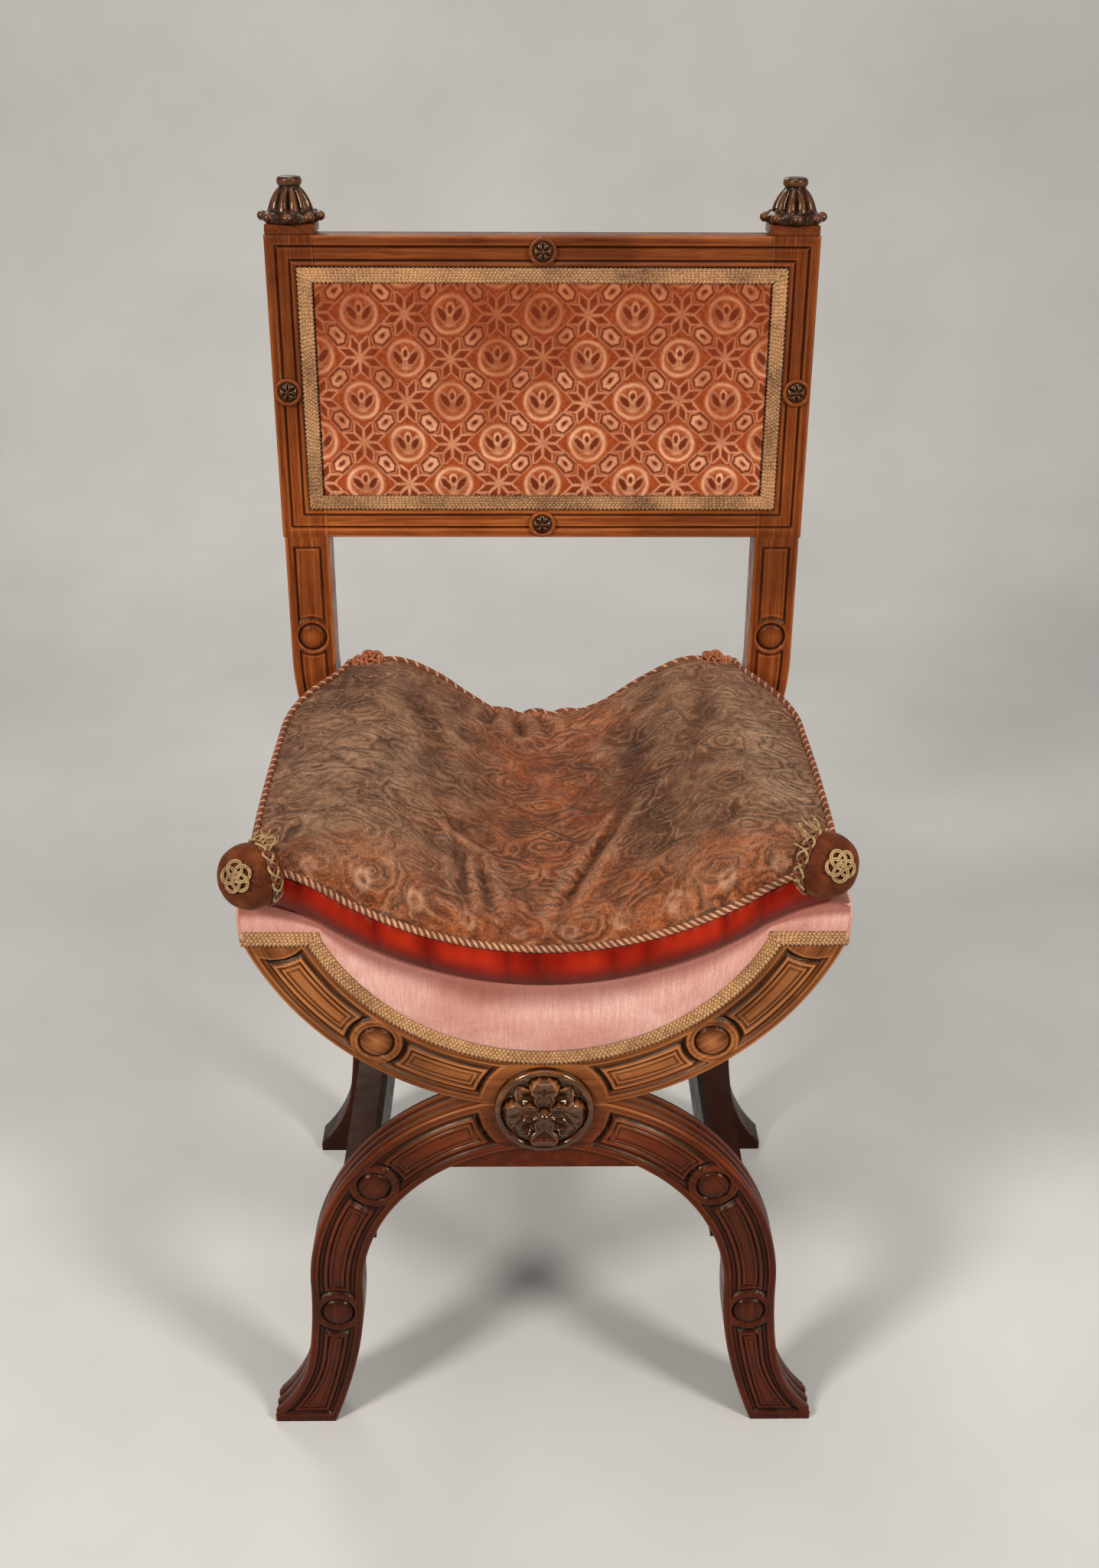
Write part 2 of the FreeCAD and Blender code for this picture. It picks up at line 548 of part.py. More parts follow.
def back_frame(nodes):
    seat_of_pad = block(-OPENING_X, OPENING_X, REAR_Y - EPS, REAR_Y + REBATE_D, OPENING_LOW_Z, OPENING_TOP_Z)
    grooves = [frame_ring(LINE_OUT, LINE_W, LINE_D), frame_ring(LINE_IN, LINE_W, LINE_D), seat_of_pad]
    foot_out = math.sqrt(POST_OUT_X ** 2 - (REAR_ARM_Z - POST_FOOT_Z) ** 2)
    foot_in = math.sqrt(POST_IN_X ** 2 - (REAR_ARM_Z - POST_FOOT_Z) ** 2)
    wide_x = POST_OUT_X + BACK_STEP
    outline = [
        line(at(foot_in, POST_FOOT_Z), at(foot_out, POST_FOOT_Z)),
        ring_arc(REAR_ARM_Z, POST_OUT_X, degrees_at(REAR_ARM_Z, foot_out, POST_FOOT_Z), 0.0),
        line(at(POST_OUT_X, REAR_ARM_Z), at(POST_OUT_X, BACK_LOW_Z)),
        line(at(POST_OUT_X, BACK_LOW_Z), at(wide_x, BACK_LOW_Z)),
        line(at(wide_x, BACK_LOW_Z), at(wide_x, BACK_TOP_Z)),
        line(at(wide_x, BACK_TOP_Z), at(POST_IN_X, BACK_TOP_Z)),
        line(at(POST_IN_X, BACK_TOP_Z), at(POST_IN_X, REAR_ARM_Z)),
        ring_arc(REAR_ARM_Z, POST_IN_X, 0.0, degrees_at(REAR_ARM_Z, foot_in, POST_FOOT_Z)),
    ]
    post = slab(outline, REAR_Y, REAR_Y + POST_D)
    middle_x = (POST_OUT_X + POST_IN_X) / 2.0
    panel_x = middle_x - POST_PANEL_W / 2.0
    panel = block(panel_x, panel_x + POST_PANEL_W, REAR_Y - EPS, REAR_Y + POST_PANEL_D,
                  POST_PANEL_LOW_Z, POST_PANEL_TOP_Z)
    spigot_hole = slip(finial_foot(), (SPIGOT_W, SPIGOT_W, 2.0 * SPIGOT_L), FIT)
    post = cut_all(post, grooves + [panel, spigot_hole])
    post = post.fuse(roundel(middle_x, POST_ROUNDEL_Z, REAR_Y))

    top_z = BACK_TOP_Z - BACK_RAIL_H
    low_z = BACK_LOW_Z + BACK_RAIL_H
    mid_y = REAR_Y + BACK_RAIL_D / 2.0
    tenon_half_t = BACK_RAIL_D / 4.0
    mortises = []
    for name, z0, z1 in (("back_top_rail", top_z, BACK_TOP_Z), ("back_bottom_rail", BACK_LOW_Z, low_z)):
        rail = block(-POST_IN_X, POST_IN_X, REAR_Y, REAR_Y + BACK_RAIL_D, z0, z1)
        s = TENON_SHOULDER
        reach = POST_IN_X + TENON_L
        tenon = block(-reach, reach, mid_y - tenon_half_t, mid_y + tenon_half_t, z0 + s, z1 - s)
        rail = cut_all(rail.fuse(tenon), grooves).removeSplitter()
        nodes[name] = raked(rail)
        near = mid_y - tenon_half_t - FIT
        far = mid_y + tenon_half_t + FIT
        mortises.append(block(-reach - FIT, reach + FIT, near, far, z0 + s - FIT, z1 - s + FIT))
    post = cut_all(post, mortises).removeSplitter()
    right = cut_all(raked(post), post_slips(FIT))
    nodes["back_post_right"] = right
    nodes["back_post_left"] = mirrored(right)

    rings = []
    flowers = []
    for x, z in patera_places():
        cup = [(0.0, PATERA_R, 0.0), (PATERA_T * 0.5, PATERA_R, 0.0), (PATERA_T * 0.75, PATERA_R - 1.0, 0.0)]
        rings.append(raked(facing_front(lobed_loft(cup, 4, 0.0, 4), x, REAR_Y, z)))
        low = PATERA_T * 0.75
        high = PATERA_T * 1.3
        petals = [(low, PATERA_FLOWER_R, 3.0), (PATERA_T, PATERA_FLOWER_R - 1.0, 3.0), (high, 3.0, 0.5)]
        flowers.append(raked(facing_front(lobed_loft(petals, 6, 0.0, 2), x, REAR_Y, z)))
    nodes["back_patera_rings"] = Part.makeCompound(rings)
    nodes["back_patera_flowers"] = Part.makeCompound(flowers)


def finial_foot():
    """Middle of the finial's plinth on the post's top."""
    return V(POST_OUT_X + BACK_STEP - PLINTH_W / 2.0 - EPS, REAR_Y + POST_D / 2.0, BACK_TOP_Z)


def finial():
    """Square plinth with a spigot, a skirt of ball tips, a fluted bell and a flat knob."""
    half = PLINTH_W / 2.0
    depth_half = POST_D / 2.0
    shape = block(-half, half, -depth_half, depth_half, 0.0, PLINTH_H)
    shape = shape.fuse(slip(V(0, 0, -SPIGOT_L / 2.0), (SPIGOT_W, SPIGOT_W, SPIGOT_L)))
    ball = FINIAL_BALL_R
    reach = FINIAL_REACH_R
    waist_z = PLINTH_H + 2.0 * ball
    knob_z = FINIAL_H - FINIAL_KNOB_R * 0.85
    skirt = [
        (PLINTH_H, reach - ball, ball),
        (PLINTH_H + ball * 0.5, reach - ball * 0.15, 1.6 * ball),
        (PLINTH_H + ball * 1.4, reach - ball * 0.15, 1.6 * ball),
        (waist_z, reach - ball, ball),
        (waist_z + 1.5, FINIAL_BELL_R, 1.0),
    ]
    bell = [
        (waist_z, FINIAL_BELL_R, 2.0),
        (waist_z + (knob_z - waist_z) * 0.45, FINIAL_BELL_R * 0.86, 2.0),
        (knob_z, FINIAL_KNOB_R * 0.85, 1.0),
    ]
    knob = [
        (knob_z, FINIAL_KNOB_R * 0.85, 0.0),
        (knob_z + FINIAL_KNOB_R * 0.35, FINIAL_KNOB_R, 0.0),
        (FINIAL_H, FINIAL_KNOB_R * 0.75, 0.0),
    ]
    for levels, lobes, per_lobe in ((skirt, FINIAL_BALLS, 4), (bell, FINIAL_BALLS, 2), (knob, 4, 4)):
        shape = shape.fuse(lobed_loft(levels, lobes, 0.0, per_lobe))
    shape = shape.removeSplitter()
    shape.translate(finial_foot())
    return raked(shape)


def seat_z(x):
    """Height of the slung seat's surface at x."""
    x = abs(x)
    if x < SEAT_TURN_X:
        return SEAT_LOW_Z + SEAT_DIP_R - math.sqrt(SEAT_DIP_R ** 2 - x ** 2)
    rest = SEAT_HALF - x
    return SEAT_SIDE_Z - SEAT_BROW_R + math.sqrt(SEAT_BROW_R ** 2 - rest ** 2)


def seat_curve(half, offset):
    """The seat's surface from -half to half, moved up by offset: brow, sag and brow."""
    def spot(x):
        return at(x, seat_z(x) + offset)
    turn_x = SEAT_TURN_X if half > SEAT_TURN_X else half / 2.0
    brow_x = (turn_x + half) / 2.0
    return [
        arc(spot(-half), spot(-brow_x), spot(-turn_x)),
        arc(spot(-turn_x), spot(0.0), spot(turn_x)),
        arc(spot(turn_x), spot(brow_x), spot(half)),
    ]


def seat_band(half, low, high, y0, y1):
    """Sheet that follows the seat's surface between two offsets from it."""
    lower = seat_curve(half, low)
    upper = seat_curve(half, high)
    sides = [
        line(at(half, seat_z(half) + low), at(half, seat_z(half) + high)),
        line(at(-half, seat_z(half) + high), at(-half, seat_z(half) + low)),
    ]
    return slab(lower + [sides[0]] + upper[::-1] + [sides[1]], y0, y1)


def seat_block(offset, end_z, y0, y1):
    """Block between the seat's surface, moved up by an offset, and a level above or below it."""
    half = SEAT_HALF
    edge_z = SEAT_SIDE_Z + offset
    outline = seat_curve(half, offset)
    outline.append(line(at(half, edge_z), at(half, end_z)))
    outline.append(line(at(half, end_z), at(-half, end_z)))
    outline.append(line(at(-half, end_z), at(-half, edge_z)))
    return slab(outline, y0, y1)


def crescent(centre_z, radius, y0, y1):
    """Seat rail that stands in a U and carries the front or rear edge of the seat."""
    radius -= FIT
    tip_z = ARM_TIP_Z
    top_z = SEAT_SIDE_Z
    half = math.sqrt(radius ** 2 - (centre_z - tip_z) ** 2)
    turn = degrees_at(centre_z, half, tip_z)
    outline = [
        ring_arc(centre_z, radius, -180.0 - turn, turn),
        line(at(half, tip_z), at(half, top_z)),
        line(at(half, top_z), at(-half, top_z)),
        line(at(-half, top_z), at(-half, tip_z)),
    ]
    return slab(outline, y0, y1).cut(seat_block(-PAD_T, top_z + EPS, y0 - EPS, y1 + EPS))


def side_rail(gap=0.0):
    """Right side rail of the seat, planed off where the stuffing would be too thin, or the room for it."""
    rail = block(RAIL_IN_X - gap, RAIL_OUT_X + gap, 0.0, REAR_Y + gap, ARM_TIP_Z - gap, RAIL_TOP_Z + gap)
    return rail.cut(seat_block(gap - RAIL_COVER, SEAT_SIDE_Z + EPS, -EPS, REAR_Y + gap + EPS))


def seat(nodes):
    rail = cut_all(side_rail(), rail_slips(FIT))
    nodes["seat_side_rail_right"] = rail
    nodes["seat_side_rail_left"] = mirrored(rail)
    nodes["seat_front_rail"] = crescent(ARM_Z, ARM_IN_R, 0.0, CRESCENT_T)
    rear_y = REAR_Y + (FRAME_T - CRESCENT_T) / 2.0
    nodes["seat_rear_rail"] = crescent(REAR_ARM_Z, POST_IN_X, rear_y, rear_y + CRESCENT_T)

    nodes["seat_sling"] = seat_band(RAIL_IN_X - FIT, -PAD_T - SLING_T, -PAD_T, CRESCENT_T + FIT, REAR_Y - FIT)
    nodes["seat_pad"] = seat_pad()
    nodes["seat_gimp"] = seat_gimp()

    x = RAIL_IN_X
    z = ARM_TIP_Z
    sheet = [
        arc(at(-x, z), at(0, z - COVER_SAG), at(x, z)),
        line(at(x, z), at(x, z - COVER_T)),
        arc(at(x, z - COVER_T), at(0, z - COVER_SAG - COVER_T), at(-x, z - COVER_T)),
        line(at(-x, z - COVER_T), at(-x, z)),
    ]
    nodes["seat_bottom_cover"] = slab(sheet, FRAME_T + FIT, REAR_Y - FIT)


def seat_pad():
    """Stuffed velvet seat: the slung surface, wrapped over the side rails and down their sides."""
    under = -PAD_T
    rail_x = RAIL_IN_X - FIT
    skirt_out = RAIL_OUT_X + FIT + SKIRT_T
    brow = SEAT_HALF
    round_z = SEAT_SIDE_Z - (skirt_out - brow) * 2.0
    upper = seat_curve(brow, 0.0)
    lower = seat_curve(rail_x, under)
    middle_z = (SEAT_SIDE_Z + round_z) / 2.0
    right = [
        arc(at(brow, SEAT_SIDE_Z), at(skirt_out - 0.6, middle_z), at(skirt_out, round_z)),
        line(at(skirt_out, round_z), at(skirt_out, ARM_TIP_Z)),
        line(at(skirt_out, ARM_TIP_Z), at(rail_x, ARM_TIP_Z)),
        line(at(rail_x, ARM_TIP_Z), at(rail_x, seat_z(rail_x) + under)),
    ]
    left = [mirrored(edge) for edge in right]
    rear_y = REAR_Y + FRAME_T
    pad = slab(upper + right + lower[::-1] + left[::-1], 0.0, rear_y)
    pad = cut_all(pad, [side_rail(FIT), mirrored(side_rail(FIT))])
    reach = 2.0 * POST_OUT_X
    clear = POST_IN_X * 0.9
    for x0, x1 in ((-reach, -clear), (clear, reach)):
        pad = pad.cut(block(x0, x1, REAR_Y - FIT, rear_y + EPS, SEAT_LOW_Z - reach, SEAT_SIDE_Z + reach))
    return pad


def seat_gimp():
    """Woven braid along the U and level over both arm tips."""
    low_r = GIMP_LOW_R
    high_r = low_r - GIMP_W
    high_z = GIMP_LOW_Z + GIMP_W
    low_x = math.sqrt(low_r ** 2 - (ARM_Z - GIMP_LOW_Z) ** 2)
    high_x = math.sqrt(high_r ** 2 - (ARM_Z - high_z) ** 2)
    out_low_x = math.sqrt(ARM_OUT_R ** 2 - (ARM_Z - GIMP_LOW_Z) ** 2)
    out_high_x = RAIL_OUT_X + FIT + SKIRT_T
    low_turn = degrees_at(ARM_Z, low_x, GIMP_LOW_Z)
    high_turn = degrees_at(ARM_Z, high_x, high_z)
    outline = [
        ring_arc(ARM_Z, low_r, -180.0 - low_turn, low_turn),
        line(at(low_x, GIMP_LOW_Z), at(out_low_x, GIMP_LOW_Z)),
        line(at(out_low_x, GIMP_LOW_Z), at(out_high_x, high_z)),
        line(at(out_high_x, high_z), at(high_x, high_z)),
        ring_arc(ARM_Z, high_r, high_turn, -180.0 - high_turn),
        line(at(-high_x, high_z), at(-out_high_x, high_z)),
        line(at(-out_high_x, high_z), at(-out_low_x, GIMP_LOW_Z)),
        line(at(-out_low_x, GIMP_LOW_Z), at(-low_x, GIMP_LOW_Z)),
    ]
    return slab(outline, -GIMP_T, 0.0)


def back_upholstery(nodes):
    x = OPENING_X - FIT
    low = OPENING_LOW_Z + FIT
    top = OPENING_TOP_Z - FIT
    floor_y = REAR_Y + REBATE_D
    web_y = floor_y - 2.0 * BACK_WEB_T
    edge_y = web_y - BACK_PAD_EDGE
    w = BACK_GIMP_W
    border = block(-x, x, edge_y, web_y, low, top)
    middle_z = (low + top) / 2.0
    inside = block(-x + w + FIT, x - w - FIT, edge_y - BACK_PAD_RISE, edge_y, low + w + FIT, top - w - FIT)
    crown = Part.makeSphere(BACK_PAD_CROWN_R, V(0, edge_y - BACK_PAD_RISE + BACK_PAD_CROWN_R, middle_z))
    nodes["back_pad"] = raked(border.fuse(inside.common(crown)).removeSplitter())
    gimp = block(-x, x, edge_y - BACK_GIMP_T, edge_y, low, top)
    hole = block(-x + w, x - w, edge_y - 2 * BACK_GIMP_T, edge_y + EPS, low + w, top - w)
    nodes["back_gimp"] = raked(gimp.cut(hole))

    webs = []
    half = BACK_WEB_W / 2.0
    for place in (-x / 2.0, 0.0, x / 2.0):
        webs.append(raked(block(place - half, place + half, floor_y - BACK_WEB_T, floor_y, low, top)))
    for place in (middle_z - BACK_WEB_W * 0.8, middle_z + BACK_WEB_W * 0.8):
        webs.append(raked(block(-x, x, web_y, floor_y - BACK_WEB_T, place - half, place + half)))
    nodes["back_webbing"] = Part.makeCompound(webs)

    rear_y = REAR_Y + BACK_RAIL_D
    low_edge = BACK_LOW_Z + BACK_RAIL_H - LINING_LAP
    top_edge = BACK_TOP_Z - BACK_RAIL_H + LINING_LAP
    lining = block(-POST_IN_X + FIT, POST_IN_X - FIT, rear_y, rear_y + LINING_T, low_edge, top_edge)
    nodes["back_lining"] = raked(lining)


def cushion_section(y, inset, valley, hump_inset, hump_rise):
    """Closed outline of the cushion at one station; heights are above the lowest point of the seat."""
    def hump_z(x):
        return hump - hump_r + math.sqrt(hump_r ** 2 - (x - hump_x) ** 2)
    half = SEAT_HALF - inset
    hump_x = SEAT_HALF - hump_inset
    hump = SEAT_DIP + hump_rise
    turn_x = hump_x / 2.0
    rise = (hump - valley) / 2.0
    hump_r = (turn_x ** 2 + rise ** 2) / (2.0 * rise)
    turn_z = valley + rise
    edge_z = hump_z(half)
    base_z = seat_z(half) + CUSHION_REST - SEAT_LOW_Z
    side = arc(at(half, base_z), at(half + CUSHION_SIDE_BULGE, (base_z + edge_z) / 2.0), at(half, edge_z))
    brow_x = (half + turn_x) / 2.0
    brow = arc(at(half, edge_z), at(brow_x, hump_z(brow_x)), at(turn_x, turn_z))
    dip = arc(at(turn_x, turn_z), at(0, valley), at(-turn_x, turn_z))
    under = line(at(-half, -CUSHION_SINK), at(half, -CUSHION_SINK))
    hem = line(at(half, -CUSHION_SINK), at(half, base_z))
    edges = [under, hem, side, brow, dip, mirrored(brow), mirrored(side), mirrored(hem)]
    wire = Part.Wire(Part.__sortEdges__(edges))
    wire.translate(V(0, y, SEAT_LOW_Z))
    return wire


def loose_cushion(nodes):
    front_y = CUSHION_FRONT_Y
    rear_y = REAR_Y - CUSHION_REAR_GAP
    wires = [cushion_section(front_y + place, *sizes) for place, *sizes in CUSHION_FRONT]
    wires += [cushion_section(rear_y - place, *sizes) for place, *sizes in CUSHION_REAR]
    below_z = SEAT_LOW_Z - 2.0 * CUSHION_SINK
    cushion = Part.makeLoft(wires, True, True)
    cushion = cushion.cut(seat_block(CUSHION_REST, below_z, front_y - EPS, rear_y + EPS))
    nodes["cushion"] = cushion
    outward = V(1, -1, 0).normalize()
    centre = V(SEAT_HALF - MACAROON_INSET, front_y - MACAROON_OUT, SEAT_SIDE_Z + MACAROON_LIFT + MACAROON_R)
    half = MACAROON_L / 2.0
    pleat = MACAROON_R * 0.08
    levels = [
        (-half, MACAROON_R * 0.5, 0.0),
        (-half * 0.75, MACAROON_R * 0.84, pleat),
        (0.0, MACAROON_R, pleat),
        (half * 0.75, MACAROON_R * 0.84, pleat),
        (half, MACAROON_R * 0.5, 0.0),
    ]
    roll = lobed_loft(levels, MACAROON_PLEATS, 0.0, 2)
    roll.Placement = FreeCAD.Placement(centre, FreeCAD.Rotation(V(0, 0, 1), outward))
    roll = roll.cut(cushion)
    nodes["macaroon_right"] = roll
    nodes["macaroon_left"] = mirrored(roll)


def build():
    nodes = {}
    stretcher, mortises = stretcher_and_mortises()
    front_frame(nodes, mortises)
    nodes["front_rosette"] = rosette()
    rear_frame(nodes, mortises)
    nodes["side_stretcher_right"] = stretcher
    nodes["side_stretcher_left"] = mirrored(stretcher)
    back_frame(nodes)
    nodes["finial_right"] = finial()
    nodes["finial_left"] = mirrored(nodes["finial_right"])
    back_upholstery(nodes)
    seat(nodes)
    crossings = crossing_slips(FRAME_MID_Y) + crossing_slips(REAR_Y + FRAME_MID_Y)
    nodes["crossing_slips"] = Part.makeCompound(crossings)
    nodes["post_slips"] = Part.makeCompound(post_slips())
    nodes["seat_rail_slips"] = Part.makeCompound(rail_slips())
    loose_cushion(nodes)
    return nodes


nodes = build()
box = Part.makeCompound(list(nodes.values())).optimalBoundingBox(False)
shift = V(0, -(box.YMin + box.YMax) / 2.0, 0)
os.makedirs("parts", exist_ok=True)
for name, shape in nodes.items():
    shape.translate(shift)
    shape.exportStep("parts/" + name + ".step")
    print(name, len(shape.Solids), "solids", round(shape.Volume / 1000.0, 1), "cm3", shape.isValid())
print("front face of the front frame at y", round(shift.y, 3))
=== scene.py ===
import math
import bmesh
import bpy
import numpy as np
from mathutils import Matrix, Vector


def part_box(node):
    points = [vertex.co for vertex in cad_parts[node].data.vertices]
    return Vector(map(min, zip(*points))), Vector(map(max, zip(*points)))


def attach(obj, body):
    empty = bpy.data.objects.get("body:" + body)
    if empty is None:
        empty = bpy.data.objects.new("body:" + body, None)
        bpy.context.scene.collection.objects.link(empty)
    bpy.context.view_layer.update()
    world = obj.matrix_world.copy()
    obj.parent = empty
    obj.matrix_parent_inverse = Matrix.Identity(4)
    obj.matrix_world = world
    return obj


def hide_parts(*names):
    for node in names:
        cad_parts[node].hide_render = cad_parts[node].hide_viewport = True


# Curule chair. Sizes are millimetres in the maker's own frame (x across, y back from the front face of
# the front cross frame, z up); put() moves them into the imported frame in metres.
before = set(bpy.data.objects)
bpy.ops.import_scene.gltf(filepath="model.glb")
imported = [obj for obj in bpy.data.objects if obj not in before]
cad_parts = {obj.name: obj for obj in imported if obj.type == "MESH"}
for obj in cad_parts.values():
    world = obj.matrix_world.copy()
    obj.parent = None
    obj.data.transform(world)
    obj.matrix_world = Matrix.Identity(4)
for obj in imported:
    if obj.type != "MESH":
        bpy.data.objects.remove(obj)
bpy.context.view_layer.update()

# Sizes of the cross frames
REAR = 392.0
Y0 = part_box("rear_leg_right")[0].y * 1000.0 - REAR
FRAME_DEEP, SEAM = 36.0, 372.0
ARM_R, ARM_IN, ARM_SHOWN, ARM_Z, ARM_TIP = 260.0, 205.0, 212.5, 626.95, 538.0
ARCH_R, ARCH_IN, ARCH_Z, ARCH_IN_Z = 209.0, 162.5, 169.32, 162.82
REAR_R, REAR_IN, REAR_Z = 246.0, 204.0, 612.66
ANKLE_OUT, ANKLE_IN, ANKLE_Z = 216.0, 171.5, 80.0
TOE_OUT, TOE_IN, TOE_Z, TOE_STEPS = 252.0, 195.0, 8.0, 8
ROSE_Z, PANEL_BORDER = 368.0, 7.0

# Sizes of the back
RAKE, FOOT_Z = math.radians(2.0), 560.0
BACK_HALF, BACK_LOW, BACK_TOP = 247.5, 736.0, 1012.0
RAIL_HALF, RAIL_TALL, RAIL_DEEP, POST_DEEP = 203.9, 42.0, 28.0, 38.0
POST_BUTTON_X, POST_BUTTON_Z, POST_PANEL_TOP = 225.0, 635.0, 726.0
PAD_HALF, PAD_LOW, PAD_TOP, PAD_CROWN = 207.0, 774.5, 973.5, 6.2
GIMP_HALF, GIMP_LOW, GIMP_TOP, GIMP_WIDE = 220.3, 763.2, 984.8, 14.0
LINING_HALF, LINING_LOW, LINING_TOP = 204.0, 766.0, 982.0

# Sizes of the seat: a sagging arc between two rounded brows
SEAT_HALF, SEAT_SIDE, SEAT_DIP, DIP_R = 239.95, 570.0, 74.0, 300.0
TURN = 2 * math.atan(SEAT_DIP / SEAT_HALF)
BROW_R = SEAT_HALF / math.sin(TURN) - DIP_R
TURN_X = DIP_R * math.sin(TURN)
VELVET_HALF, ROLL_Y, SEAT_REAR_Y, EDGE_ROLL = 241.0, 12.0, 391.0, 5.0
SKIRT_X, SKIRT_TOP, SKIRT_LOW = 240.6, 565.0, 536.5
FACING_R, FACING_TOP, SEAT_GIMP_WIDE, SEAT_GIMP_LOW, GIMP_END = 199.0, 544.5, 16.0, 530.5, 243.0

# Sizes of the loose cushion and its macaroons
FRONT_Y, BACK_Y, CUSHION_HALF, SIDE_Z = -6.0, 384.0, 234.0, 606.0
FRONT_TAPER, REAR_TAPER, FRONT_RISE, BACK_EDGE_Z, BACK_RISE = 3.0, 43.0, 34.5, 560.0, 56.0
VALLEY_Z, VALLEY_RISE, CREST_Z, CREST_RISE, CREST_X, CREST_IN = 545.0, 17.0, 618.0, 5.0, 182.0, 22.0
CUSHION_NU, CUSHION_NV = 220, 170
BALL_R, BALL_HALF = 26.2, 22.4
BALL_AT = {"right": (217.5, -8.0, 608.5), "left": (-228.0, -8.0, 599.5)}
SIDES = (("right", 1), ("left", -1))
UP = np.array([0.0, 0.0, 1.0])


# Shape helpers

def clip01(x):
    return np.clip(x, 0.0, 1.0)


def ease(a, b, x):
    t = clip01((x - a) / (b - a))
    return t * t * (3 - 2 * t)


def hump(x):
    """Half a sine between 0 and 1, nothing outside."""
    return np.where((x > 0) & (x < 1), np.sin(np.pi * clip01(x)), 0.0)


def bell(x, at, wide):
    """1 at a place, fading to both sides."""
    return np.exp(-((x - at) / wide) ** 2)


def dome(x):
    """Half circle between -1 and 1, nothing outside."""
    return np.sqrt(np.maximum(1 - x ** 2, 0))


def wobble(x, y, seed, octaves=3):
    """Smooth seeded unevenness, about -1 to 1, built from sines."""
    rng = np.random.default_rng(seed)
    out = np.zeros(np.broadcast(x, y).shape)
    for o in range(octaves):
        for _ in range(4):
            a = rng.uniform(0, 2 * np.pi)
            k = 2.0 ** o * rng.uniform(0.7, 1.4)
            out = out + np.sin(k * (x * np.cos(a) + y * np.sin(a)) + rng.uniform(0, 6.3)) / (4 * 1.6 ** o)
    return out


def points(x, y, z):
    """One list of points from coordinates that broadcast to each other."""
    return np.stack(np.broadcast_arrays(x, y, z), -1).reshape(-1, 3)


def unit(v):
    return v / np.linalg.norm(v, axis=-1, keepdims=True)


def run_of(p):
    """Distance from the first point, along a line of points."""
    return np.concatenate([[0], np.cumsum(np.linalg.norm(np.diff(p, axis=0), axis=1))])


def sample(p, run, at):
    """The columns of p, known at each run, read off at other distances."""
    return np.stack([np.interp(at, run, column) for column in p.T], 1)


def once_round(n):
    """Angles of n equal steps round a circle."""
    return np.linspace(0, 2 * np.pi, n, endpoint=False)


def swung(q, a, b):
    """Directions at angles q in the plane of two directions."""
    return np.cos(q) * a + np.sin(q) * b


def rake(v):
    """Lean upright points of the back about the foot of the posts."""
    v = np.array(v, float)
    dy, dz = v[:, 1] - REAR, v[:, 2] - FOOT_Z
    v[:, 1] = REAR + dy * math.cos(RAKE) + dz * math.sin(RAKE)
    v[:, 2] = FOOT_Z + dz * math.cos(RAKE) - dy * math.sin(RAKE)
    return v


def grid(nu, nv, wrap_u=False, wrap_v=False):
    i = np.arange(nu if wrap_u else nu - 1)[:, None]
    j = np.arange(nv if wrap_v else nv - 1)[None, :]
    i1, j1 = (i + 1) % nu, (j + 1) % nv
    return np.stack([i * nv + j, i1 * nv + j, i1 * nv + j1, i * nv + j1], -1).reshape(-1, 4).tolist()


def rim_loop(nu, nv):
    """Point numbers once round the edge of a grid."""
    return ([i * nv for i in range(nu)] + [(nu - 1) * nv + j for j in range(1, nv)]
            + [i * nv + nv - 1 for i in range(nu - 2, -1, -1)] + list(range(nv - 2, 0, -1)))


def merge(parts):
    """Joins (verts, faces, attrs) triples into one."""
    verts, faces, attrs, base = [], [], {}, 0
    names = sorted({k for p in parts for k in p[2]})
    for v, f, a in parts:
        verts.append(np.asarray(v, float))
        faces += [[i + base for i in face] for face in f]
        for k in names:
            attrs.setdefault(k, []).append(np.broadcast_to(a.get(k, 0.0), (len(v),)))
        base += len(v)
    return np.vstack(verts), faces, {k: np.concatenate(x) for k, x in attrs.items()}


def mirror(part):
    v, f, a = part
    return np.asarray(v) * [-1, 1, 1], [face[::-1] for face in f], a


def put(name, part, mat, replaces=(), body="chair", sharp=None, weld=None, extra=(), index=None):
    """Makes a piece from (verts, faces, attrs); index gives each face's place in [mat, *extra]."""
    verts, faces, attrs = part
    co = np.array(verts, float)
    co[:, 1] += Y0
    mesh = bpy.data.meshes.new(name)
    mesh.from_pydata((co * 0.001).tolist(), [], faces)
    for each in (mat, *extra):
        mesh.materials.append(each)
    if index is not None:
        mesh.polygons.foreach_set("material_index", np.asarray(index, np.int32))
    for key, values in attrs.items():
        layer = mesh.attributes.new(key, "FLOAT", "POINT")
        layer.data.foreach_set("value", np.broadcast_to(values, (len(co),)).astype(np.float32))
    bm = bmesh.new()
    bm.from_mesh(mesh)
    if weld:
        bmesh.ops.remove_doubles(bm, verts=bm.verts, dist=weld)
    bmesh.ops.recalc_face_normals(bm, faces=bm.faces)
    bm.to_mesh(mesh)
    bm.free()
    mesh.shade_smooth()
    if sharp:
        mesh.set_sharp_from_angle(angle=math.radians(sharp))
    ob = bpy.data.objects.new(name, mesh)
    bpy.context.scene.collection.objects.link(ob)
    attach(ob, body)
    if replaces:
        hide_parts(*replaces)
    return ob


# Materials

class Signal:
    """A node's output; a sum written with it makes Math nodes."""

    def __init__(self, tree, socket):
        self.tree = tree
        self.socket = socket

    def __abs__(self):
        return self.tree.math("ABSOLUTE", self)


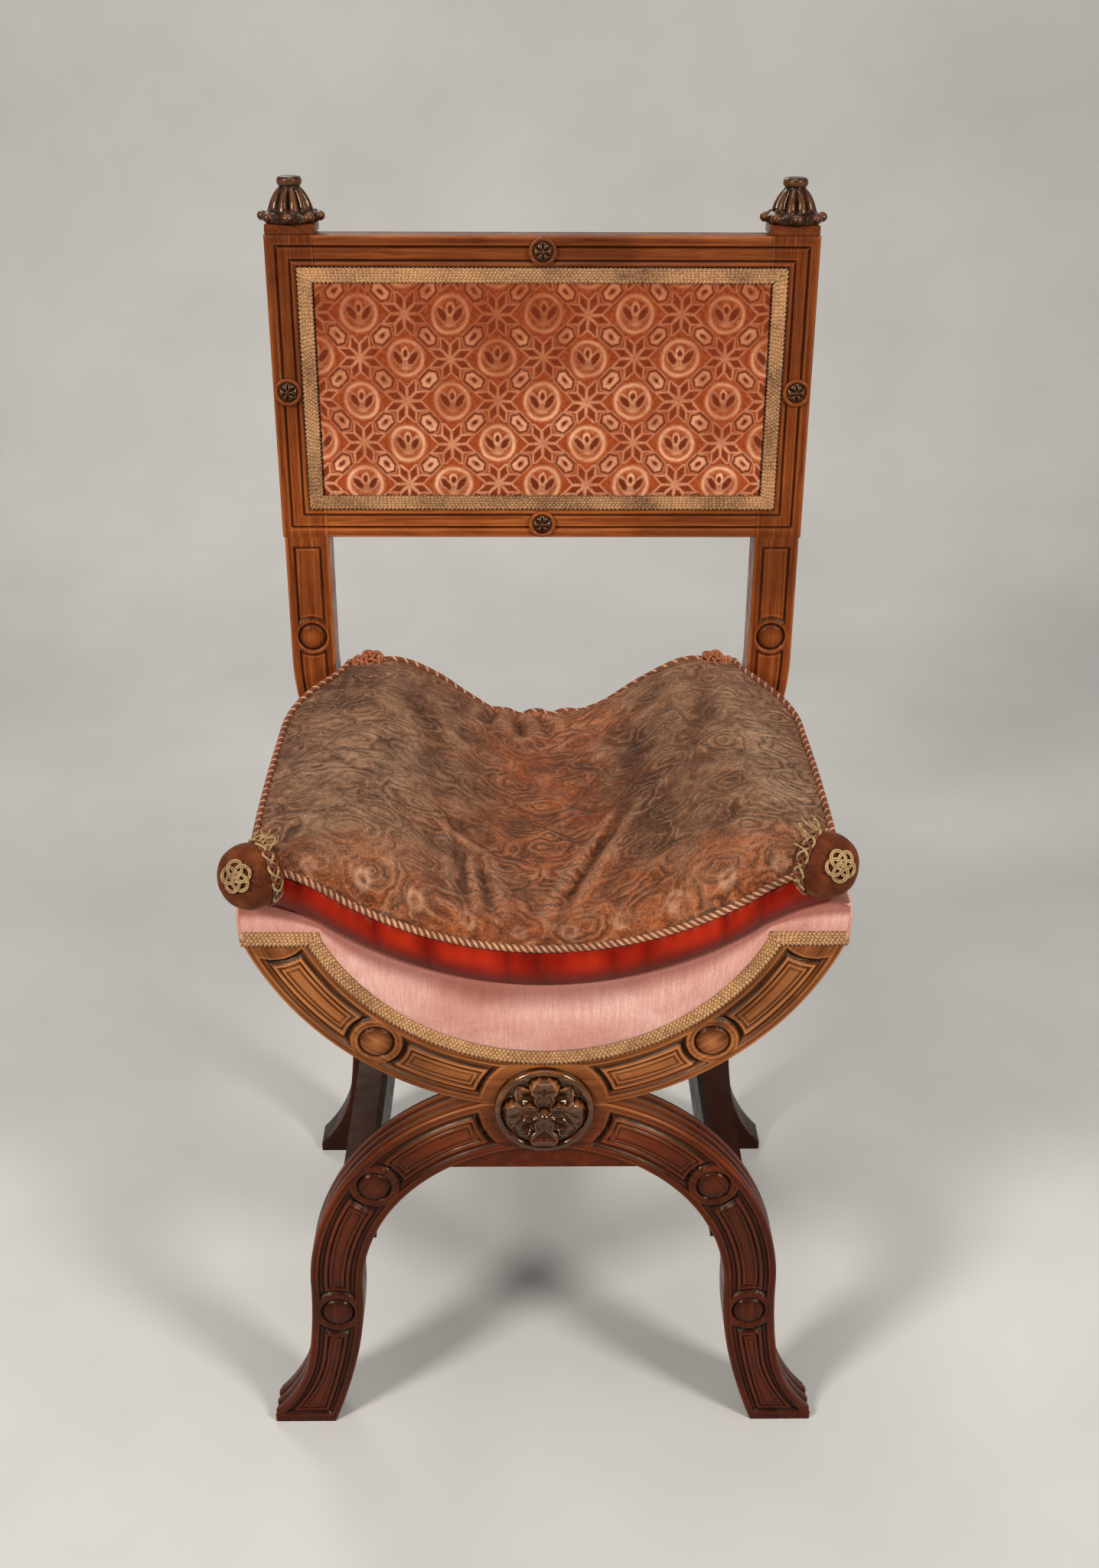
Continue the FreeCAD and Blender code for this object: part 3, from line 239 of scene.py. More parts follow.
for sign, operation in (("add", "ADD"), ("sub", "SUBTRACT"), ("mul", "MULTIPLY"), ("truediv", "DIVIDE")):
    setattr(Signal, "__%s__" % sign, lambda a, b, op=operation: a.tree.math(op, a, b))
    setattr(Signal, "__r%s__" % sign, lambda a, b, op=operation: a.tree.math(op, b, a))


class Tree:
    """Small helper that writes a material's node tree."""

    def __init__(self, name):
        self.mat = bpy.data.materials.new(name)
        self.mat.use_nodes = True
        self.nodes = self.mat.node_tree.nodes
        self.links = self.mat.node_tree.links
        self.bsdf = self.nodes["Principled BSDF"]

    def set(self, socket, value):
        if isinstance(value, Signal):
            self.links.new(value.socket, socket)
        else:
            socket.default_value = value

    def node(self, kind, inputs=(), out=0, **settings):
        n = self.nodes.new(kind)
        for k, v in settings.items():
            setattr(n, k, v)
        for k, v in dict(inputs).items():
            self.set(n.inputs[k], v)
        return Signal(self, n.outputs[out])

    def math(self, op, a, b=0.0):
        return self.node("ShaderNodeMath", {0: a, 1: b}, operation=op)

    def length(self, a, b):
        return self.math("SQRT", a * a + b * b)

    def attr(self, name):
        return self.node("ShaderNodeAttribute", out=2, attribute_name=name)

    def spot(self):
        return self.node("ShaderNodeTexCoord", out=3)

    def split(self, vector):
        outputs = self.node("ShaderNodeSeparateXYZ", {0: vector}).socket.node.outputs
        return [Signal(self, each) for each in outputs]

    def scaled(self, vector, scale):
        return self.node("ShaderNodeMapping", {0: vector, 3: scale})

    def coords(self, *scale):
        return self.scaled(self.spot(), scale if len(scale) == 3 else scale * 3)

    def noise(self, vector, scale=1.0, detail=4.0, rough=0.55, distort=0.0):
        return self.node("ShaderNodeTexNoise", {"Vector": vector, "Scale": scale, "Detail": detail,
                                                "Roughness": rough, "Distortion": distort})

    def grain(self, size, detail=4.0, rough=0.55, distort=0.0):
        """Noise in the piece's own place; size is cells per metre, one number or three."""
        at = self.coords(*(size if isinstance(size, tuple) else (size,)))
        return self.noise(at, 1.0, detail, rough, distort)

    def ramp(self, fac, *stops):
        n = self.nodes.new("ShaderNodeValToRGB")
        self.set(n.inputs[0], fac)
        while len(n.color_ramp.elements) < len(stops):
            n.color_ramp.elements.new(0.5)
        for e, (pos, col) in zip(n.color_ramp.elements, stops):
            e.position = pos
            e.color = (*col, 1.0)
        return Signal(self, n.outputs[0])

    def mix(self, fac, a, b, mode="MIX"):
        a, b = (v if isinstance(v, Signal) else (*v, 1.0) for v in (a, b))
        return self.node("ShaderNodeMix", {0: fac, 6: a, 7: b}, 2, data_type="RGBA", blend_type=mode)

    def layers(self, color, *coats):
        """Lays (share, colour) coats over a colour, one after another."""
        for share, coat in coats:
            color = self.mix(share, color, coat)
        return color

    def range(self, x, a, b, c=0.0, d=1.0):
        return self.node("ShaderNodeMapRange", {0: x, 1: a, 2: b, 3: c, 4: d})

    def bump(self, height, strength, distance):
        return self.node("ShaderNodeBump", {"Strength": strength, "Distance": distance, "Height": height})

    def finish(self, color, rough, normal=None, **plain):
        self.set(self.bsdf.inputs["Base Color"], color)
        self.set(self.bsdf.inputs["Roughness"], rough)
        if normal is not None:
            self.set(self.bsdf.inputs["Normal"], normal)
        for k, v in plain.items():
            self.bsdf.inputs[k.replace("_", " ")].default_value = v
        return self.mat


def tone(color, share, plus=0.0):
    return tuple(min(1.0, c * share + plus) for c in color)


def wood_material(name, dark, mid, light, gloss=0.3, follow=True, low=(0.39, 0.185, 0.11),
                  high=(1.0, 1.0, 1.0), shine=0.22, turn=(0.41, 0.33)):
    """Waxed walnut: grain along the piece, dark in the carving, paler on rubbed edges that also stand in for
    highlights, and painted shade that makes it darker low down.
    """
    t = Tree(name)
    if follow:
        spot = t.node("ShaderNodeCombineXYZ", {0: t.attr("along"), 1: t.attr("across"), 2: t.attr("depth")})
        grain_at = t.scaled(spot, (0.006, 0.13, 0.13))
        pore_at = t.scaled(spot, (0.045, 1.5, 1.5))
    else:
        grain_at = t.coords(60.0, 9.0, 60.0)
        pore_at = t.coords(900.0, 50.0, 900.0)
    broad = t.noise(grain_at, 1.6, 5.0, 0.62, 0.9)
    pores = t.noise(pore_at, 1.0, 3.0, 0.6)
    patch = t.grain(9.0, 4.0, 0.6)
    height = t.split(t.spot())[2]

    # Painted shade by height: multiplied by low from turn downwards and further near the floor; multiplied by
    # high from 0.78 m up.
    def shaded_by_height(color):
        color = t.mix(t.range(height, *turn), color, low, "MULTIPLY")
        color = t.mix(t.range(height, 0.33, 0.0), color, tone(low, 1.0, 0.2), "MULTIPLY")
        return t.mix(t.range(height, 0.78, 0.96), color, high, "MULTIPLY")

    color = t.ramp(broad, (0.26, dark), (0.5, mid), (0.76, light))
    color = shaded_by_height(t.layers(color, (t.range(pores, 0.55, 0.72, 0.0, 0.7), tone(dark, 0.35)),
                          (t.range(patch, 0.42, 0.66, 0.0, 0.5), tone(dark, 0.7))))
    # Rubbed edges made paler, partly real wear and partly painted highlight; the carving's near-black is
    # patina.
    if follow:
        rub_and_highlight = t.attr("wear") * t.range(patch, 0.3, 0.62, 1.0, 0.25)
        color = t.layers(color, (rub_and_highlight * 0.75, shaded_by_height(tone(light, 1.75, 0.015))),
                         (t.attr("cav") * 0.97, (0.004, 0.0015, 0.001)))
    rough = t.range(t.grain(70), 0.3, 0.7, gloss - 0.06, gloss + 0.16)
    return t.finish(color, rough, t.bump(pores * 0.5 + broad * 0.6, 0.2, 0.0006), Specular_IOR_Level=shine,
                    Specular_Tint=(1.0, 0.8, 0.6, 1.0))


WALNUT = wood_material("walnut", (0.06, 0.013, 0.003), (0.2, 0.056, 0.013), (0.4, 0.145, 0.04))
BACK_WALNUT = wood_material("back_walnut", (0.08, 0.014, 0.003), (0.2, 0.042, 0.007),
                            (0.33, 0.092, 0.018), 0.28, high=(0.62, 0.6, 0.7))
RAIL_WALNUT = wood_material("rail_walnut", (0.1, 0.018, 0.004), (0.26, 0.06, 0.013),
                            (0.42, 0.13, 0.03), 0.28, high=(0.6, 0.58, 0.62))
# The rear arms darken through low and turn towards their feet, and the rear legs get a darker copy of the
# walnut: painted shade for the rear frame, which stands in shadow.
REAR_ARM = wood_material("rear_arm", (0.08, 0.014, 0.003), (0.21, 0.046, 0.008), (0.36, 0.105, 0.021), 0.28,
                         low=(0.32, 0.32, 0.45), turn=(0.56, 0.375))
SHADED_REAR_WALNUT = wood_material("shaded_rear_walnut", (0.04, 0.009, 0.003), (0.09, 0.022, 0.006),
                            (0.15, 0.044, 0.012), 0.34)
DARK_WALNUT = wood_material("dark_walnut", (0.008, 0.0025, 0.001), (0.026, 0.007, 0.002),
                            (0.13, 0.04, 0.011), 0.2, shine=0.5)
ROSE_WALNUT = wood_material("rose_walnut", (0.016, 0.004, 0.001), (0.055, 0.015, 0.004),
                            (0.29, 0.105, 0.029), 0.12, shine=0.85)
PLAIN_WALNUT = wood_material("plain_walnut", (0.05, 0.012, 0.003), (0.11, 0.028, 0.006),
                             (0.17, 0.05, 0.012), 0.34, False)
BRIDGE_WALNUT = wood_material("bridge_walnut", (0.06, 0.015, 0.003), (0.13, 0.034, 0.006),
                              (0.2, 0.06, 0.012), 0.34, False, (0.6, 0.28, 0.1))
BEECH = wood_material("beech", (0.19, 0.095, 0.042), (0.28, 0.155, 0.075), (0.36, 0.22, 0.12), 0.6, False,
                      (0.9, 0.88, 0.86))


def cloth_material(name, color, weave=900.0):
    """Plain weave."""
    t = Tree(name)
    warp, weft = (t.node("ShaderNodeTexWave", {"Vector": t.coords(1.0), "Scale": weave * 0.31},
                         bands_direction=axis) for axis in "XZ")
    weave = t.math("MAXIMUM", warp, weft)
    shade = t.ramp(t.grain(30), (0.3, tone(color, 0.88)), (0.7, tone(color, 1.1)))
    shade = t.mix(t.range(weave, 0.0, 0.5, 0.5, 0.0), shade, tone(color, 0.4))
    return t.finish(shade, 0.85, t.bump(weave, 0.6, 0.0004), Sheen_Weight=0.15, Sheen_Roughness=0.5)


def back_velvet():
    """Stamped velvet: ringed flowers and eight-petal stars in turn, with hexagons at their corners."""
    t = Tree("stamped_velvet")
    x, _, z = t.split(t.spot())
    warp = (t.grain(17, 3.0) - 0.5) * 0.0075
    width, tall, middle_z = 41.6, 39.0, 866.5
    gx = (x + warp) / (width / 1000.0) + 0.5
    gz = (z - middle_z / 1000.0 + warp) / (tall / 1000.0) + 0.5
    fuzz = t.grain((330, 330, 260), 4.0, 0.75)
    rough_edge = (fuzz - 0.5) * 4.2

    def centred(v):
        return t.math("FRACT", v) - 0.5

    def parity(a, b):
        return t.math("MODULO", t.math("FLOOR", a) + t.math("FLOOR", b) + 100.0, 2.0)

    def line(dist, half, soft=1.1):
        return t.range(abs(dist) + rough_edge, half, half + soft, 1.0, 0.0)

    def inside(dist):
        return t.range(dist + rough_edge, -1.0, 1.0, 1.0, 0.0)

    def ellipse(a, b, rx, rz):
        return (t.length(a / rx, b / rz) - 1.0) * min(rx, rz)

    def turned(a, b, degrees):
        c, d = math.cos(math.radians(degrees)), math.sin(math.radians(degrees))
        return a * c + b * d, b * c - a * d

    def any_of(first, *others):
        for each in others:
            first = t.math("MAXIMUM", first, each)
        return first

    u = centred(gx) * width
    v = centred(gz) * tall
    starry = parity(gx, gz)
    r = t.length(u, v)
    # Ringed flower: bright ring with a soft glow, a bud over two dark leaves that curl up at the sides
    ring = line(r - 15.6, 0.8, 1.7)
    glow = t.range(abs(r - 15.0), 1.0, 5.0, 0.55, 0.0) * t.range(fuzz, 0.3, 0.7)
    leaf = ellipse(*turned(abs(u) - 7.0, v - 0.2, 56.0), 8.6, 3.7)
    bud = ellipse(u, v - 4.4, 3.0, 5.0)
    cup = ellipse(u, v + 8.6, 5.2, 2.2)
    shade = any_of(inside(leaf), inside(bud))
    flower = any_of(line(leaf, 0.3) * 0.6, line(bud, 0.3), inside(cup) * 0.7)
    bright_ring = any_of(ring, glow - shade, flower)
    # Star: outlined petals that meet at a small ring
    eighth = math.pi / 4
    turn = (t.math("FRACT", t.math("ARCTAN2", v, u) / eighth) - 0.5) * eighth
    out, aside = r * t.math("COSINE", turn), abs(r * t.math("SINE", turn))
    petal = (abs(out - 11.8) / 10.2 + aside / 4.5 - 1.0) * 4.0
    bright_star = any_of(line(petal, 0.25), line(r - 1.9, 0.4)) * 0.7
    # Hexagons between the rings
    lean = parity(gx + 0.5, gz + 0.5) * 2.0 - 1.0
    cu = centred(gx + 0.5) * width * lean
    cv = centred(gz + 0.5) * tall
    p, q = abs((cu + cv) * 0.7071), abs((cu - cv) * 0.7071)
    hexagon = any_of(q - 5.0, q * 0.6 + p - 8.6)
    seed = inside(ellipse(p, q, 3.6, 2.0))
    bright_hexagon = any_of(inside(hexagon) - seed, line(hexagon - 3.1, 0.2) * 0.5)
    dark_hexagon = any_of(line(hexagon - 1.4, 0.7), seed)
    clear = t.range(hexagon, 3.4, 3.9)
    light = any_of((bright_ring * (1.0 - starry) + bright_star * starry) * clear, bright_hexagon)
    dark = any_of((shade * (1.0 - starry) + inside(petal + 1.0) * (starry * 0.72)) * clear, dark_hexagon)
    light = light * t.range(t.grain(34, 5.0, 0.65), 0.36, 0.62, 0.4, 1.0)
    # Darker at the top, paler below: painted shade under the top rail, together with the lie of the nap.
    shade_and_nap = t.range(z + (t.grain(13) - 0.5) * 0.12, 0.985, 0.775)
    ground = t.mix(shade_and_nap, (0.15, 0.019, 0.0025), (0.32, 0.052, 0.01))
    pile = t.mix(shade_and_nap, (0.36, 0.105, 0.036), (0.87, 0.45, 0.25))
    color = t.layers(ground, (t.range(fuzz, 0.46, 0.7, 0.0, 0.4), (0.45, 0.115, 0.036)),
                     (t.range(fuzz, 0.5, 0.3, 0.0, 0.45), (0.09, 0.011, 0.002)),
                     (dark * 0.82, (0.1, 0.011, 0.002)), (light * 0.95, pile))
    return t.finish(color, 0.85, t.bump(dark - light + fuzz * 0.4, 0.55, 0.0009), Sheen_Weight=0.08,
                    Sheen_Roughness=0.4, Sheen_Tint=(1.0, 0.7, 0.52, 1.0), Specular_IOR_Level=0.15)


def seat_velvet():
    """Pale pink velvet with fine upright ribs."""
    t = Tree("pink_velvet")
    soft = t.grain((9, 9, 14), 4.0, 0.6, 0.5)
    ribs = t.grain((520, 520, 36), 3.0, 0.6)
    fine = t.grain(1300, 2.0)
    color = t.ramp(soft, (0.3, (0.52, 0.21, 0.16)), (0.52, (0.68, 0.35, 0.29)), (0.74, (0.8, 0.49, 0.43)))
    color = t.layers(color, (t.range(ribs, 0.42, 0.62, 0.28, 0.0), (0.36, 0.11, 0.075)),
                     (t.range(fine, 0.45, 0.8, 0.0, 0.4), (0.84, 0.58, 0.5)),
                     (t.range(fine, 0.5, 0.3, 0.0, 0.35), (0.4, 0.14, 0.1)),
                     # Painted shadow of the cushion on the facing and the front roll.
                     (t.attr("cav") * 0.75, (0.2, 0.04, 0.026)))
    return t.finish(color, 0.8, t.bump(ribs + fine * 0.3, 0.4, 0.0006), Sheen_Weight=0.25,
                    Sheen_Roughness=0.4, Sheen_Tint=(1.0, 0.8, 0.74, 1.0), Specular_IOR_Level=0.2)


def cushion_velvet():
    """Old stamped velvet: rings among curling lines, rubbed tan or still rust red, daisies in front."""
    t = Tree("cushion_velvet")
    across, back = t.attr("cloth_x"), t.attr("cloth_y")
    drift = t.node("ShaderNodeTexNoise", {"Vector": t.coords(22), "Scale": 1.0, "Detail": 2.0}, out=1)
    shift = t.split(drift)
    small = t.grain(95, 6.0, 0.72)
    ragged = (small - 0.5) * 4.0

    def from_centre(cell_x, cell_y, gx, gy, squash):
        """Ragged distance from the middle of the nearest cell; every other row is shifted by half a cell."""
        half = t.math("MODULO", t.math("FLOOR", gy / cell_y) + 100.0, 2.0) * 0.5
        u = (t.math("FRACT", gx / cell_x + half) - 0.5) * cell_x
        v = (t.math("FRACT", gy / cell_y) - 0.5) * (cell_y * squash)
        return t.length(u, v) + ragged

    far = from_centre(54.0, 36.0, across + (shift[0] - 0.5) * 26.0, back + (shift[1] - 0.5) * 22.0, 1.4)
    ring = t.range(abs(far - 12.0), 1.0, 3.0, 1.0, 0.0)
    daisy = t.range(abs(from_centre(41.0, 23.0, across, back, 1.0) - 4.8), 0.8, 3.4, 1.0, 0.0)
    by_edge = t.range(back, 24.0, 36.0, 1.0, 0.0)
    big = t.grain(8, 5.0, 0.62, 0.6)
    swirl = t.grain(40, 1.5, 0.5)
    some = t.range(t.grain(26, 3.0), 0.4, 0.6)
    blotch = t.grain(30, 2.0, 0.5)
    grit = t.grain(400, 3.0, 0.7)
    fine = t.grain((1400, 900, 900), 2.0)
    ripple = t.math("SINE", (far - ragged * 0.75) * (2 * math.pi / 12.0) + swirl * 24.0)
    crush = ripple * (ripple * ripple) * (some * 0.28 + 0.1) + (grit - 0.5) * 1.45
    tan = t.ramp(big, (0.32, (0.075, 0.023, 0.008)), (0.5, (0.155, 0.051, 0.019)),
                 (0.7, (0.27, 0.112, 0.047)))
    rust = t.ramp(big, (0.3, (0.16, 0.027, 0.006)), (0.52, (0.32, 0.068, 0.013)),
                  (0.76, (0.46, 0.13, 0.034)))
    # Pale rubbed places, which on the crests also stand in for highlights.
    worn_and_lit = t.attr("pale") * t.range(small, 0.35, 0.62, 0.3, 1.0)
    ghost = ring * some * (0.3 - by_edge * 0.3)
    bloom = daisy * by_edge * t.range(small, 0.34, 0.58, 0.1, 0.75) * t.range(some, 0.0, 1.0, 0.35, 1.0)
    # Among these coats, the paleness of the lumps is painted highlight and the cav coat is painted shade in
    # the folds.
    color = t.layers(tan, (t.range(t.attr("rust") + (big - 0.5) * 0.9, 0.2, 0.8), rust),
                     (worn_and_lit * 0.8, (0.49, 0.31, 0.195)),
                     (t.range(small, 0.5, 0.36, 0.0, 0.45), (0.055, 0.016, 0.006)),
                     (t.range(blotch, 0.52, 0.36, 0.0, 0.4), (0.06, 0.02, 0.008)),
                     (t.range(blotch, 0.52, 0.68, 0.0, 0.22), (0.45, 0.26, 0.15)),
                     (t.range(small, 0.53, 0.66, 0.0, 0.35), (0.45, 0.22, 0.11)),
                     (t.range(crush, 0.02, -0.34, 0.0, 0.8), (0.04, 0.012, 0.004)),
                     (t.range(crush, 0.08, 0.45, 0.0, 0.55), (0.47, 0.25, 0.135)),
                     (t.attr("wear") * t.range(grit, 0.35, 0.6, 0.3, 0.8), (0.46, 0.26, 0.15)),
                     (ghost, (0.4, 0.16, 0.07)), (bloom, (0.58, 0.31, 0.19)),
                     (t.range(fine, 0.45, 0.8, 0.0, 0.2), (0.38, 0.22, 0.13)),
                     (t.attr("cav") * 0.85, (0.03, 0.01, 0.004)))
    height = ring * -0.5 + (crush * 0.7 + ripple * 0.22 + fine * 0.15)
    return t.finish(color, 0.86, t.bump(height, 0.9, 0.003), Sheen_Weight=0.06, Sheen_Roughness=0.45,
                    Sheen_Tint=(1.0, 0.85, 0.72, 1.0), Specular_IOR_Level=0.15)


def plush():
    """Rust brown pile of the macaroons."""
    t = Tree("rust_plush")
    soft = t.grain(60, 4.0, 0.6)
    fine = t.grain(1100, 3.0)
    color = t.ramp(soft, (0.3, (0.045, 0.007, 0.0015)), (0.52, (0.095, 0.018, 0.004)),
                   (0.75, (0.17, 0.042, 0.01)))
    # The cav coat is painted shade in the gathers.
    color = t.layers(color, (t.range(fine, 0.45, 0.8, 0.0, 0.3), (0.26, 0.09, 0.035)),
                     (t.attr("cav") * 0.85, (0.02, 0.005, 0.002)))
    return t.finish(color, 0.85, t.bump(fine, 0.5, 0.0006), Sheen_Weight=0.14, Sheen_Roughness=0.35,
                    Sheen_Tint=(1.0, 0.55, 0.34, 1.0), Specular_IOR_Level=0.15)


def satin():
    """Red satin of the boxing, with painted highlights on its folds and painted shade in its gathers."""
    t = Tree("red_satin")
    ribs = t.grain((150, 150, 16), 3.0)
    color = t.ramp(t.grain(14), (0.3, (0.13, 0.002, 0.001)), (0.52, (0.22, 0.004, 0.001)),
                   (0.75, (0.33, 0.011, 0.003)))
    color = t.layers(color, (t.attr("wear") * 0.6, (0.43, 0.024, 0.006)),
                     (t.attr("cav") * 0.9, (0.035, 0.001, 0.001)))
    return t.finish(color, 0.36, t.bump(ribs, 0.35, 0.0009), Sheen_Weight=0.05, Sheen_Roughness=0.3,
                    Sheen_Tint=(1.0, 0.4, 0.2, 1.0), Specular_IOR_Level=0.35,
                    Specular_Tint=(1.0, 0.5, 0.3, 1.0))


def thread(name, dark, light, rough=0.6):
    """Spun thread of the gimp and the cords."""
    t = Tree(name)
    fine = t.grain(420, 4.0, 0.7)
    color = t.ramp(fine * 0.6 + t.grain(25, 3.0) * 0.4, (0.35, dark), (0.62, light))
    # The cav coat is painted shade between strands and stitches.
    color = t.mix(t.attr("cav") * 0.9, color, tone(dark, 0.16))
    return t.finish(color, rough, t.bump(fine, 0.5, 0.0004), Sheen_Weight=0.1, Sheen_Roughness=0.4,
                    Specular_IOR_Level=0.3)


LINING = cloth_material("lining", (0.17, 0.062, 0.036))
WEBBING = cloth_material("webbing", (0.3, 0.22, 0.13), 500.0)
VELVET = back_velvet()
PINK = seat_velvet()
WORN = cushion_velvet()
SATIN = satin()
PLUSH = plush()
GIMP = thread("gimp", (0.13, 0.05, 0.018), (0.6, 0.31, 0.135))
SEAT_GIMP = thread("seat_gimp", (0.2, 0.076, 0.026), (0.68, 0.37, 0.16))
GOLD = thread("gold_cord", (0.15, 0.08, 0.028), (0.51, 0.33, 0.145), 0.45)
TAN = thread("tan_cord", (0.26, 0.11, 0.045), (0.62, 0.36, 0.19), 0.55)
RED = thread("red_cord", (0.075, 0.014, 0.006), (0.21, 0.05, 0.02), 0.55)
FLAME = thread("flame_cord", (0.17, 0.035, 0.01), (0.4, 0.12, 0.04), 0.5)


# Carved frame

def member(outer, inner, y0, deep, relief=None, nt=80, soft=1.6, reeds=0.0, raked=False):
    """Sawn member in the x-z plane between two edge lines, with a carved front face.
    relief(x, z, to_outer, to_inner) gives height, darkness and paleness of the front; the paleness is rubbed
    wear and painted highlight."""
    outer, inner = np.asarray(outer, float), np.asarray(inner, float)
    n = len(outer)
    width = np.linalg.norm(inner - outer, axis=1)[:, None]
    strips = []

    def between(t):
        return outer[:, None] * (1 - t[..., None]) + inner[:, None] * t[..., None]

    def strip(spot, y, cav, wear, across):
        values = (spot[..., 0], y, spot[..., 1], cav, wear, across)
        strips.append(np.stack([np.broadcast_to(each, spot.shape[:2]) for each in values], -1))

    edge = np.array([0.0, 0.012, 0.026])
    t = np.concatenate([edge, np.linspace(0.045, 0.955, nt - 6), 1 - edge[::-1]])[None, :]
    face = between(t)
    d_out, d_in = t * width, (1 - t) * width
    h, cav, wear = relief(face[..., 0], face[..., 1], d_out, d_in) if relief else (0.0, 0.0, 0.0)
    near = np.minimum(d_out, d_in)
    drop = soft - np.sqrt(np.maximum(soft ** 2 - np.clip(soft - near, 0, soft) ** 2, 0))
    # Rounded edges paler: rubbed wear and painted highlight.
    strip(face, y0 + drop - h, cav, np.maximum(wear, 0.9 * bell(near, 0.9, 1.1)), d_out)
    v = np.linspace(0.0, 1.0, 37 if reeds else 7)
    y = y0 + soft + v * (deep - 2 * soft)
    bands = np.abs(np.sin(3 * np.pi * v)) ** 0.7
    # Reed ridges paler: rubbed wear and painted highlight; the dark between the reeds is patina.
    rub_and_highlight = 0.6 * bands ** 3 * (1 if reeds else 0.2)
    dark = (1 - bands) ** 1.6 * (0.95 if reeds else 0.0)
    strip(np.repeat(inner[:, None], len(v), 1), y, 0.0, rub_and_highlight, width)
    rear_t = np.array([[0.97, 0.66, 0.33, 0.03]])
    strip(between(rear_t), y0 + deep, 0.0, 0.0, rear_t * width)
    sink = (reeds * (1 - bands))[None, ::-1, None]
    strip(outer[:, None] - ((outer - inner) / width)[:, None] * sink, y[::-1], dark[::-1], rub_and_highlight[::-1], 0.0)
    ring = np.concatenate(strips, 1)
    m = ring.shape[1]
    verts = ring[..., :3].reshape(-1, 3)
    faces = grid(n, m, wrap_v=True) + [list(range(m)), list(range((n - 1) * m, n * m))[::-1]]
    attrs = {"cav": clip01(ring[..., 3]).ravel(), "wear": clip01(ring[..., 4]).ravel(),
             "along": np.repeat(run_of((outer + inner) / 2), m), "across": ring[..., 5].ravel(),
             "depth": verts[:, 1]}
    return rake(verts) if raked else verts, faces, attrs


def panel(side, end):
    """Carved panel at a distance inside its long sides and its hollow ends: a cove with a dark root, deeper
    and darker at the ends, then a bead, a fine line, a fillet and the field."""
    p = np.minimum(side, end)
    gouge = ease(-2.0, 2.0, side - end)
    fine = hump((p - 8.3) / 1.9)
    inner = hump((p - 12.4) / 1.6)
    root = bell(p, 4.2, 1.1) + 0.9 * bell(p, 0.4, 0.8)
    cav = root * (1 - gouge) + gouge * hump(p / 5.8) ** 0.5
    cav = np.maximum(cav, np.maximum(fine, 0.65 * inner))
    cove = (2.3 + 1.2 * gouge) * hump(p / 5.4) ** 0.8
    h = -cove - 1.2 * fine - 0.6 * inner + 0.4 * hump((p - 5.4) / 2.8)
    # Pale lines on the bead, beside the fine line and on the border, and a paler field: rubbed wear and
    # painted highlight.
    wear = bell(p, 6.6, 0.9) + 0.8 * bell(p, 11.2, 0.8) + 0.7 * bell(p, -0.9, 0.8)
    wear = wear + 0.35 * ease(14.0, 15.0, p)
    return h, clip01(cav), clip01(wear)


def button(r, radius=14.2):
    """Turned roundel: a low dome in a dark ring groove, with painted shade towards its rim, a painted
    highlight in its middle, and a pale edge outside the groove from rubbed wear and painted highlight.
    """
    groove = bell(r, radius, 1.2)
    h = 1.6 * dome(r / radius) - 2.4 * groove
    cav = np.maximum(groove, 0.5 * ease(0.5, 1.0, r / radius) * (r < radius))
    return h, cav, 0.7 * bell(r, 0.0, 0.42 * radius) + 0.8 * bell(r, radius + 2.2, 0.8)


def carved(discs, buttons, end=None):
    """Relief of sunk panels that keep clear of round discs, with roundels on some of these."""
    def relief(x, z, d_out, d_in):
        side = np.minimum(d_out, d_in) - PANEL_BORDER
        tip = end(x, z) if end else np.full_like(side, 99.0)
        for cx, cz, cr in discs:
            tip = np.minimum(tip, np.hypot(np.abs(x) - cx, z - cz) - cr)
        h, cav, wear = panel(side, tip)
        for cx, cz in buttons:
            hb, cb, wb = button(np.hypot(np.abs(x) - cx, z - cz))
            h, cav, wear = h + hb, np.maximum(cav, cb), np.maximum(wear, wb)
        return h, cav, wear
    return relief


def circle(cz, r, a, b, n):
    q = np.radians(np.linspace(a, b, n))
    return np.stack([r * np.cos(q), cz + r * np.sin(q)], 1)


def angle_at(cz, r, z):
    return math.degrees(math.asin((z - cz) / r))


def tangent_run(p, heading, q, n):
    """Points on the arc that leaves p along heading and reaches q; and the heading there."""
    p, q, t = np.array(p, float), np.array(q, float), np.array(heading, float)
    length = np.linalg.norm(q - p)
    u = (q - p) / length
    end = 2 * (t @ u) * u - t
    w = np.linspace(0, 1, n)[:, None]
    from_p = (2 * w ** 3 - 3 * w ** 2 + 1) * p + (w ** 3 - 2 * w ** 2 + w) * t * length
    return from_p + (3 * w ** 2 - 2 * w ** 3) * q + (w ** 3 - w ** 2) * end * length, end


